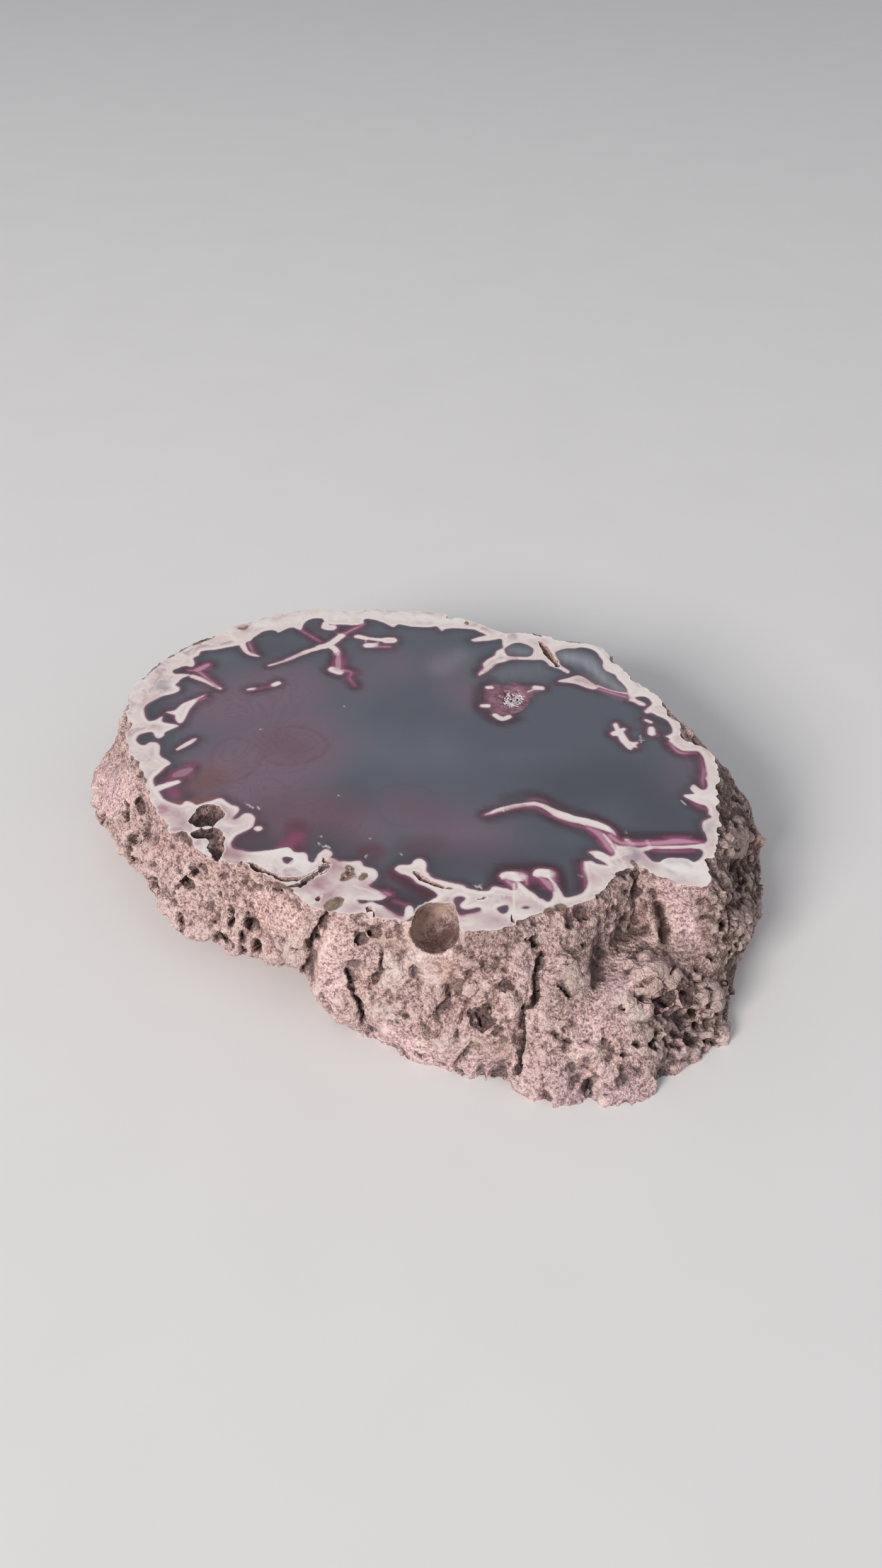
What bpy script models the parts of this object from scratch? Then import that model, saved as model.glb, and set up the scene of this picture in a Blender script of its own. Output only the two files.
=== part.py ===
# A thunderegg slice: a stone nodule sawn across, with a porous rhyolite rind round an
# agate heart. It lies on its sawn underside with the polished face up.
# +X runs along its length, +Y across it and away from the side with the smooth facet,
# +Z out of the polished face. The origin is under the middle of the whole slice.

import math
import random

import bmesh
import bpy
import numpy as np
from mathutils import Matrix, Vector, noise

MM = 0.001

# Driving dimensions, in millimetres
THICKNESS = 34.0          # sawn underside to polished face
SKIRT_HEIGHT = 6.0        # where the wall is widest on most sides
BELLY_HEIGHT = 17.0       # half way up the wall
COLUMNS = 240             # mesh columns round the wall
ROWS = 12                 # mesh rows up the wall

# Outline of the polished face: bearing from +X in degrees, distance from the face's middle
FACE_OUTLINE = [
    (-178, 75.2), (-173, 72.1), (-168.5, 70.3), (-162, 69.4), (-150, 68.0), (-139, 64.3),
    (-131, 60.4), (-122, 61.0), (-115, 61.0), (-111, 62.7), (-107, 63.3), (-99, 62.5),
    (-94, 64.0), (-89, 63.7), (-80, 67.4), (-71.5, 69.4), (-65, 68.2), (-62, 68.7),
    (-58, 71.2), (-53, 71.4), (-45, 70.0), (-41, 70.5), (-38.7, 86.0), (-36, 88.0),
    (-34, 86.0), (-32, 84.6), (-22, 83.1), (-19, 81.3), (-16, 82.0), (-13, 80.5),
    (-4.5, 80.3), (-1, 78.2), (0.6, 73.2), (3.6, 72.2), (7, 73.8), (9.5, 71.4),
    (14, 72.2), (24.5, 69.8), (33, 69.4), (38.5, 71.8), (43, 70.5), (49, 66.0),
    (58, 64.0), (62, 59.4), (66.6, 59.7), (77.5, 63.2), (83, 65.1), (94, 66.2),
    (106.5, 68.9), (115, 73.1), (122, 76.5), (129, 76.7), (135, 79.0), (148, 82.3),
    (159, 84.0), (164, 83.2), (169, 81.3), (174, 78.4),
]

# The rough wall: bearing, then its distance at half height, at the skirt and at the foot
WALL_OUTLINE = [
    (-175, 84.0, 83.0, 75.0), (-168, 80.0, 78.0, 70.0), (-162, 74.5, 73.5, 65.5),
    (-152, 73.0, 71.5, 63.5), (-146, 72.5, 71.0, 62.0), (-140, 71.0, 70.0, 61.0),
    (-136, 68.5, 67.0, 58.0), (-130, 67.5, 66.5, 57.5), (-125, 65.0, 63.0, 54.5),
    (-119, 64.0, 60.5, 52.5), (-116.5, 63.0, 57.0, 50.5), (-113, 66.0, 63.0, 57.0),
    (-110.5, 68.5, 68.0, 63.0), (-104, 69.0, 70.0, 67.0), (-99, 69.5, 73.0, 71.0),
    (-93, 71.0, 74.5, 74.0), (-88, 73.0, 78.0, 79.0), (-84, 74.5, 80.0, 80.4),
    (-79, 77.5, 84.0, 85.4), (-75, 79.0, 86.0, 86.0), (-72.5, 82.0, 91.0, 91.7),
    (-69, 85.5, 95.0, 96.4), (-64, 88.0, 99.0, 101.3), (-60, 89.0, 100.0, 103.0),
    (-56, 90.0, 101.5, 104.2), (-51, 91.0, 102.0, 103.0), (-46, 92.0, 103.5, 104.7),
    (-43, 93.0, 103.5, 104.7), (-39, 96.0, 101.0, 101.0), (-36, 97.0, 100.0, 99.5),
    (-32, 97.5, 98.5, 97.0), (-26, 95.5, 98.0, 95.5), (-20, 93.5, 95.5, 93.0),
    (-15, 93.5, 94.5, 91.0), (-8, 93.0, 94.5, 91.0), (-4, 91.5, 94.5, 91.5),
    (0, 91.0, 93.0, 90.0), (8, 88.0, 91.0, 88.0), (15, 84.0, 88.0, 85.0),
    (25, 79.0, 82.0, 79.0), (38, 78.0, 80.0, 77.0), (45, 77.0, 79.0, 76.0),
    (52, 73.0, 76.0, 73.0), (60, 70.0, 72.0, 69.0), (68, 68.0, 70.0, 67.0),
    (78, 70.0, 72.0, 69.0), (90, 73.0, 75.0, 72.0), (105, 75.0, 77.0, 74.0),
    (115, 79.0, 80.0, 77.0), (122, 82.0, 83.0, 79.0), (130, 83.0, 84.0, 80.0),
    (142, 87.0, 88.0, 83.0), (153, 90.0, 90.0, 84.0), (160, 92.0, 91.5, 84.5),
    (167, 91.0, 91.5, 83.5), (172, 90.5, 91.5, 83.0), (180, 86.5, 87.0, 79.0),
]

# Lumps of the rind: size of a lump and how far it stands out
LUMPS = [(19.0, 1.7), (8.5, 1.5), (4.6, 0.9)]
LUMPS_AT_FACE = 0.3       # share of that at the edge of the polished face
FACE_EDGE_BAND = 9.0      # below this much of the wall the lumps are full size

# Cracks and gullies down the wall: half width, depth, and the way as (bearing, height).
# A negative depth is a ridge.
GULLIES = {
    "left gully": (1.5, 4.5, [(-107.6, 30), (-108.6, 27), (-110, 23), (-110.2, 17), (-111.5, 12)]),
    "left block edge": (2.6, -1.6, [(-113.5, 26), (-114.5, 18), (-115, 11)]),
    "left crack": (1.4, 3.4, [(-101.4, 20.5), (-99, 15), (-98, 12), (-98.6, 9)]),
    "left crack mouth": (2.8, 4.4, [(-98.2, 8), (-97, 3.5)]),
    "short crack": (1.3, 2.2, [(-81.5, 19.7), (-84.3, 15)]),
    "long crack": (1.3, 3.2, [(-65.5, 27.5), (-67.6, 24), (-69, 20.5), (-71.7, 16), (-73, 6.5)]),
    "foot niche": (3.0, 4.5, [(-65.5, 6.5), (-64.5, 2)]),
    "facet recess": (3.2, 3.6, [(-41.6, 28), (-42.2, 24), (-45.3, 20.5)]),
    "corner crevice": (1.6, 3.4, [(-52.4, 20.4), (-54, 17.6)]),
    "sponge boulder": (4.5, -3.0, [(-50, 18.5), (-46.5, 16)]),
    "corner hollow": (4.0, 3.2, [(-47.5, 10), (-51.5, 7)]),
    "right step": (2.2, 2.2, [(-37, 9), (-34, 12), (-30, 14)]),
    "right hollow": (4.5, 3.0, [(-24, 22), (-17, 17)]),
    "right block": (2.6, -2.6, [(-13.4, 21), (-12.8, 19)]),
    "back gully": (2.0, 4.0, [(63, 27), (65, 21), (62, 12), (64, 2)]),
    "back crack": (1.5, 3.2, [(98, 27), (101, 19), (97, 8)]),
    "back ledge": (2.6, -2.4, [(110, 14), (124, 11), (137, 15)]),
    "back hollow": (4.0, 3.4, [(146, 20), (151, 13)]),
    "left end crack": (1.4, 3.0, [(176, 27), (179, 18), (176, 8)]),
}

# Rounded pits in the wall: bearing, height, radius, sunk below the surface
WALL_PITS = [
    (-96.9, 29.4, 1.9, 0.4), (-99.5, 27.1, 1.5, 0.3), (-96.4, 18.5, 1.7, 0.5),
    (-77.4, 15.0, 2.4, 0.8), (-80.2, 29.3, 1.7, 0.5), (-72.7, 22.3, 1.8, 0.5),
    (-65.9, 29.6, 1.6, 0.4), (-56.2, 16.8, 1.8, 0.8), (-50.6, 15.6, 3.1, 1.0),
    (-46.4, 14.6, 2.5, 0.9), (-47.6, 9.6, 2.8, 1.0), (-44.0, 11.5, 2.2, 0.8),
    (-54.5, 10.0, 2.2, 0.6), (-22.9, 27.2, 1.9, 0.8), (-36.2, 23.5, 2.0, 0.7),
    (-28.5, 20.5, 2.4, 0.8), (-141, 28.0, 1.7, 0.5), (-143, 23.0, 2.1, 0.6),
    (-126.6, 19.5, 2.4, 0.8), (-112.9, 20.6, 2.5, 0.6), (-166, 27.5, 2.0, 0.7),
    (-132, 12.5, 2.6, 0.9), (18, 20.0, 2.6, 0.8), (36, 13.0, 2.2, 0.7),
    (74, 20.0, 2.8, 0.9), (88, 12.0, 2.2, 0.7), (118, 24.0, 2.4, 0.8), (158, 16.0, 2.8, 0.9),
]

# Pits in the polished face: place, depth of the centre, half sizes, turn and roughness
FACE_PITS = {
    "round_hole": ((6.6, -62.6), 3.4, (6.1, 6.1, 6.1), 0, 0.0),
    "rim_pit": ((-50.2, -28.2), 0.2, (4.1, 4.0, 3.6), 20, 0.35),
    "cross_pit": ((-46.6, -38.0), 0.2, (2.1, 5.6, 3.2), 8, 0.35),
    "cross_pit_arm": ((-50.2, -34.6), 0.2, (3.4, 1.9, 2.6), 10, 0.35),
    "left_pit": ((-55.3, -38.6), 0.3, (2.1, 4.2, 3.2), 5, 0.35),
}
WALL_PIT_ROUGHNESS = 0.5
WALL_PIT_SHAPE = (1.0, 1.25, 0.9)

# The crescent groove near the rim, where the rind has parted from the agate
GROOVE_POINTS = [(-40.4, -44.5), (-36, -49.2), (-30, -52), (-25.5, -52), (-21.6, -48.8), (-18.5, -45.2)]
GROOVE_RADIUS = 1.15
GROOVE_DEPTH = 0.6

# The small crystal hollow in the agate
VUG_CENTRE = (28.0, 19.8)
VUG_HALF_SIZES = (4.7, 6.6, 4.8)
VUG_TURN = -14.0
MATING_GAP = 0.3          # between the crystal crust and the hollow's wall
CRUST_DROP = 2.7          # the crust's ground lies this far below the polished face
CRYSTAL_COUNT = 19
CRYSTAL_SPREAD = 0.62     # share of the hollow that the crystals' feet cover
CRYSTAL_ROOT = 0.5        # each foot is sunk this far into the ground
CRYSTAL_TIP_DROP = 0.35   # no crystal tip comes nearer to the polished face
CRYSTAL_WIDTHS = (0.9, 1.5)
CRYSTAL_RISES = (0.55, 1.0)
CRYSTAL_STRAY = 0.6       # how far a tip leans out of line
CRYSTAL_LEAN = 0.09       # outward lean at the middle, as a share of the hollow
CRYSTAL_LEAN_IN = 0.19    # taken off towards the rim, so the outer points lean in
CRYSTAL_CAP = 0.75        # height of a crystal's point, as a share of its width
GOLDEN_ANGLE = 137.5


def around(outline, column, bearings):
    known = [row[0] for row in outline]
    values = [row[column] for row in outline]
    return np.interp(bearings, known, values, period=360.0)


def wall_radius(bearings, height):
    # A smooth upright profile through the foot, the skirt, half height and the face
    heights = (0.0, SKIRT_HEIGHT, BELLY_HEIGHT, THICKNESS)
    radii = (
        around(WALL_OUTLINE, 3, bearings),
        around(WALL_OUTLINE, 2, bearings),
        around(WALL_OUTLINE, 1, bearings),
        around(FACE_OUTLINE, 1, bearings),
    )
    total = 0.0
    for i, radius in enumerate(radii):
        weight = 1.0
        for j, other in enumerate(heights):
            if j != i:
                weight *= (height - other) / (heights[i] - other)
        total = total + weight * radius
    return total


def lumps(x, y, z):
    total = 0.0
    for size, stand in LUMPS:
        total += stand * noise.noise(Vector((x, y, z)) / size + Vector((size, 2.0, 5.0)))
    below_face = min(1.0, (THICKNESS - z) / FACE_EDGE_BAND)
    return total * (LUMPS_AT_FACE + (1.0 - LUMPS_AT_FACE) * below_face)


def distance_to_way(point, way):
    nearest = 1000.0
    for start, end in zip(way, way[1:]):
        along = end - start
        share = (point - start).dot(along) / along.length_squared
        share = min(1.0, max(0.0, share))
        nearest = min(nearest, (point - start - along * share).length)
    return nearest


def gully_depth(bearing, height, radius):
    total = 0.0
    for half_width, depth, way in GULLIES.values():
        points = [Vector((math.radians(b - bearing) * radius, h)) for b, h in way]
        away = distance_to_way(Vector((0.0, height)), points)
        total += depth * math.exp(-(away / half_width) ** 2)
    return total


def wall_point(bearing, height):
    radius = float(wall_radius(bearing, height))
    angle = math.radians(bearing)
    radius += lumps(radius * math.cos(angle), radius * math.sin(angle), height)
    radius -= gully_depth(bearing, height, radius)
    return Vector((radius * math.cos(angle), radius * math.sin(angle), height))


def new_object(name, mesh):
    mesh.transform(Matrix.Scale(MM, 4))
    data = bpy.data.meshes.new(name)
    mesh.to_mesh(data)
    mesh.free()
    created = bpy.data.objects.new(name, data)
    bpy.context.scene.collection.objects.link(created)
    return created


def build_stone():
    mesh = bmesh.new()
    rings = []
    for row in range(ROWS + 1):
        height = THICKNESS * row / ROWS
        bearings = [360.0 * i / COLUMNS - 180.0 for i in range(COLUMNS)]
        rings.append([mesh.verts.new(wall_point(bearing, height)) for bearing in bearings])
    for lower, upper in zip(rings, rings[1:]):
        for i in range(COLUMNS):
            j = (i + 1) % COLUMNS
            mesh.faces.new((lower[i], lower[j], upper[j], upper[i]))
    mesh.faces.new(rings[-1])
    mesh.faces.new(list(reversed(rings[0])))
    return new_object("thunderegg_slice", mesh)


def ellipsoid(centre, half_sizes, turn, levels, roughness):
    mesh = bmesh.new()
    bmesh.ops.create_icosphere(mesh, subdivisions=levels, radius=1.0)
    for vert in mesh.verts:
        vert.co *= 1.0 + roughness * noise.noise(vert.co * 1.7 + Vector(centre))
    mesh.transform(Matrix.Diagonal((*half_sizes, 1.0)))
    mesh.transform(Matrix.Rotation(math.radians(turn), 4, "Z"))
    mesh.transform(Matrix.Translation(centre))
    return mesh


def guide(name, mesh, collection):
    # A shape that only cuts or joins, and isn't part of the stone itself
    shape = new_object(name, mesh)
    shape.hide_render = True
    shape.display_type = "WIRE"
    bpy.context.scene.collection.objects.unlink(shape)
    collection.objects.link(shape)
    return shape


def new_collection(name):
    for old in list(bpy.data.collections):
        if old.name == name:
            bpy.data.collections.remove(old)
    collection = bpy.data.collections.new(name)
    bpy.context.scene.collection.children.link(collection)
    return collection


def combine(target, collection, operation):
    boolean = target.modifiers.new(collection.name, "BOOLEAN")
    boolean.operand_type = "COLLECTION"
    boolean.collection = collection
    boolean.operation = operation
    boolean.solver = "EXACT"


def groove_cutter():
    # A round tube along the crescent, as a curve with filled ends
    curve = bpy.data.curves.new("crescent_groove", "CURVE")
    curve.dimensions = "3D"
    curve.bevel_depth = GROOVE_RADIUS * MM
    curve.bevel_resolution = 1
    curve.use_fill_caps = True
    spline = curve.splines.new("POLY")
    spline.points.add(len(GROOVE_POINTS) - 1)
    for point, (x, y) in zip(spline.points, GROOVE_POINTS):
        point.co = (x * MM, y * MM, (THICKNESS - GROOVE_DEPTH) * MM, 1.0)
    shape = bpy.data.objects.new("crescent_groove", curve)
    bpy.context.scene.collection.objects.link(shape)
    graph = bpy.context.evaluated_depsgraph_get()
    solid = bmesh.new()
    solid.from_mesh(shape.evaluated_get(graph).to_mesh())
    bpy.data.objects.remove(shape)
    solid.transform(Matrix.Scale(1.0 / MM, 4))
    return solid


def carve_stone(stone):
    pits = new_collection("pits")
    for i, (bearing, height, radius, sunk) in enumerate(WALL_PITS):
        place = wall_point(bearing, height)
        inward = Vector((-place.x, -place.y, 0.0)).normalized()
        half_sizes = [radius * share for share in WALL_PIT_SHAPE]
        mesh = ellipsoid(place + inward * sunk, half_sizes, bearing, 1, WALL_PIT_ROUGHNESS)
        guide(f"wall_pit_{i + 1}", mesh, pits)
    for name, ((x, y), depth, half_sizes, turn, roughness) in FACE_PITS.items():
        mesh = ellipsoid((x, y, THICKNESS - depth), half_sizes, turn, 2, roughness)
        guide(name, mesh, pits)
    guide("crescent_groove_cutter", groove_cutter(), pits)
    vug = ellipsoid((*VUG_CENTRE, THICKNESS), VUG_HALF_SIZES, VUG_TURN, 3, 0.0)
    guide("vug", vug, pits)
    combine(stone, pits, "DIFFERENCE")


def crystal(base, tip, width):
    # A six-sided quartz point
    mesh = bmesh.new()
    axis = tip - base
    turn = axis.to_track_quat("Z", "Y").to_matrix().to_4x4()
    length = axis.length
    foot = []
    shoulder = []
    for i in range(6):
        angle = math.radians(60.0 * i)
        x = 0.5 * width * math.cos(angle)
        y = 0.5 * width * math.sin(angle)
        foot.append(mesh.verts.new((x, y, 0.0)))
        shoulder.append(mesh.verts.new((x, y, length - CRYSTAL_CAP * width)))
    top = mesh.verts.new((0.0, 0.0, length))
    for i in range(6):
        j = (i + 1) % 6
        mesh.faces.new((foot[i], foot[j], shoulder[j], shoulder[i]))
        mesh.faces.new((shoulder[i], shoulder[j], top))
    mesh.faces.new(list(reversed(foot)))
    mesh.transform(Matrix.Translation(base) @ turn)
    return mesh


def build_crust():
    # One bed that lines the hollow, with quartz points grown from it
    half_sizes = [size - MATING_GAP for size in VUG_HALF_SIZES]
    bed = ellipsoid((*VUG_CENTRE, THICKNESS), half_sizes, VUG_TURN, 3, 0.0)
    everything = bed.verts[:] + bed.edges[:] + bed.faces[:]
    ground = Vector((*VUG_CENTRE, THICKNESS - CRUST_DROP))
    cut = bmesh.ops.bisect_plane(bed, geom=everything, plane_co=ground, plane_no=(0, 0, 1), clear_outer=True)
    edges = [item for item in cut["geom_cut"] if isinstance(item, bmesh.types.BMEdge)]
    bmesh.ops.holes_fill(bed, edges=edges)
    crust = new_object("quartz_crust", bed)

    points = new_collection("quartz_points")
    draw = random.Random(11)
    turn = Matrix.Rotation(math.radians(VUG_TURN), 3, "Z")
    for i in range(CRYSTAL_COUNT):
        share = math.sqrt((i + 0.5) / CRYSTAL_COUNT)
        angle = math.radians(GOLDEN_ANGLE * i)
        across = turn @ Vector((math.cos(angle) * VUG_HALF_SIZES[0], math.sin(angle) * VUG_HALF_SIZES[1], 0.0))
        base = ground + across * share * CRYSTAL_SPREAD - Vector((0, 0, CRYSTAL_ROOT))
        tip = base + across * (CRYSTAL_LEAN - CRYSTAL_LEAN_IN * share)
        tip.x += draw.uniform(-CRYSTAL_STRAY, CRYSTAL_STRAY)
        tip.y += draw.uniform(-CRYSTAL_STRAY, CRYSTAL_STRAY)
        tip.z += draw.uniform(*CRYSTAL_RISES) * (CRUST_DROP + CRYSTAL_ROOT - CRYSTAL_TIP_DROP)
        guide(f"quartz_point_{i + 1}", crystal(base, tip, draw.uniform(*CRYSTAL_WIDTHS)), points)
    combine(crust, points, "UNION")
    return crust


def finish(name, colour, roughness):
    material = bpy.data.materials.new(name)
    material.use_nodes = True
    shader = material.node_tree.nodes["Principled BSDF"]
    shader.inputs["Base Color"].default_value = (*colour, 1.0)
    shader.inputs["Roughness"].default_value = roughness
    shader.inputs["Metallic"].default_value = 0.0
    return material


def paint_stone(stone):
    # The rind all over, and the polished agate on the sawn and polished face
    stone.data.materials.append(finish("rhyolite_rind", (0.30, 0.20, 0.18), 0.85))
    stone.data.materials.append(finish("polished_agate", (0.17, 0.15, 0.18), 0.12))
    for face in stone.data.polygons:
        on_face = face.center.z > (THICKNESS - 0.01) * MM
        face.material_index = 1 if on_face else 0


def stand_on_origin(stone):
    # The origin goes under the middle of the whole slice, and the cutters move with it
    graph = bpy.context.evaluated_depsgraph_get()
    mesh = stone.evaluated_get(graph).to_mesh()
    xs = [vert.co.x for vert in mesh.vertices]
    ys = [vert.co.y for vert in mesh.vertices]
    middle = Vector(((min(xs) + max(xs)) / 2, (min(ys) + max(ys)) / 2, 0.0))
    shapes = list(bpy.data.objects)
    slice_frame = bpy.data.objects.new("slice_frame", None)
    bpy.context.scene.collection.objects.link(slice_frame)
    slice_frame.location = -middle
    for shape in shapes:
        shape.parent = slice_frame


for old in list(bpy.data.objects):
    bpy.data.objects.remove(old)

stone = build_stone()
paint_stone(stone)
carve_stone(stone)
crust = build_crust()
crust.data.materials.append(finish("clear_quartz", (0.80, 0.77, 0.74), 0.08))
stand_on_origin(stone)
bpy.context.view_layer.update()
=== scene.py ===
# Thunderegg slice: the looks of the polished stone and its crystals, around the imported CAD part
import math
import random

import bmesh
import bpy
import numpy as np
from mathutils import Matrix, Vector, noise
from mathutils.geometry import delaunay_2d_cdt
from mathutils.kdtree import KDTree


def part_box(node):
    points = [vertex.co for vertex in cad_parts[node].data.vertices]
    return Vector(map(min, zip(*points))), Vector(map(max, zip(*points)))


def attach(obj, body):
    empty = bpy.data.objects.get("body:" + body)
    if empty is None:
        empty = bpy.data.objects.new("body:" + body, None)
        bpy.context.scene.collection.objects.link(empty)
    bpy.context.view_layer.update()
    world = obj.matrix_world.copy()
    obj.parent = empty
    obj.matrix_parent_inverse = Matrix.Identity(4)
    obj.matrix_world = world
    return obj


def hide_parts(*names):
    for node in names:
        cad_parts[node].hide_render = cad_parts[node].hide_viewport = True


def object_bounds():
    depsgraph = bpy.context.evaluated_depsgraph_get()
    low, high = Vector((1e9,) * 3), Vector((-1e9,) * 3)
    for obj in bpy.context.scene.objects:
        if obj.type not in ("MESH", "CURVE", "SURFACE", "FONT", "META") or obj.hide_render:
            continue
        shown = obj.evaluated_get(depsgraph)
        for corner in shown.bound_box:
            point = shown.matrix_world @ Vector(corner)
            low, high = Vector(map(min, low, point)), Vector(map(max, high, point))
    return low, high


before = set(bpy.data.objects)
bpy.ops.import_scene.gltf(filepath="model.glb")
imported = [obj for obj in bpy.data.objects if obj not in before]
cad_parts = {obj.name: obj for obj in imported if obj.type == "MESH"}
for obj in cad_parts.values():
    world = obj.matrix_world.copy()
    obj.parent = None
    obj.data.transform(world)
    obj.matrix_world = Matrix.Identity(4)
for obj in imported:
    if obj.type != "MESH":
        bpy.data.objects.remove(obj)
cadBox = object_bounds()
mm = 0.001
hair = 0.001 * mm                    # places nearer than this count as the same
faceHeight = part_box("thunderegg_slice")[1].z
print("frame loaded, polished face at", round(faceHeight / mm, 2), "mm")


# The camera stands where the photographer's phone was

photo = {
    "width": 1400,
    "height": 2488,
    "focal": 1870.0,                 # in pixels
    "sensor": 36.0,                  # mm, for the same focal length
    "place": (0.0061, -0.2381, 0.2320),
    "lookDown": math.radians(40.89),
}
photoForward = np.array([0.0, math.cos(photo["lookDown"]), -math.sin(photo["lookDown"])])
photoUp = np.array([0.0, math.sin(photo["lookDown"]), math.cos(photo["lookDown"])])


def onFace(pixels):
    # Where the lines of sight through photo pixels meet the polished face, in mm
    pixels = np.asarray(pixels, float)
    across = (pixels[:, 0] - photo["width"] / 2) / photo["focal"]
    upward = (photo["height"] / 2 - pixels[:, 1]) / photo["focal"]
    rays = photoForward + upward[:, None] * photoUp
    rays[:, 0] += across
    reach = (faceHeight - photo["place"][2]) / rays[:, 2]
    return (np.array(photo["place"]) + rays * reach[:, None])[:, :2] / mm


def inPhoto(points):
    # Photo pixels of points given in metres
    away = points - np.array(photo["place"])
    depth = away @ photoForward
    x = photo["width"] / 2 + photo["focal"] * away[:, 0] / depth
    y = photo["height"] / 2 - photo["focal"] * (away @ photoUp) / depth
    return np.stack([x, y], 1)
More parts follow.
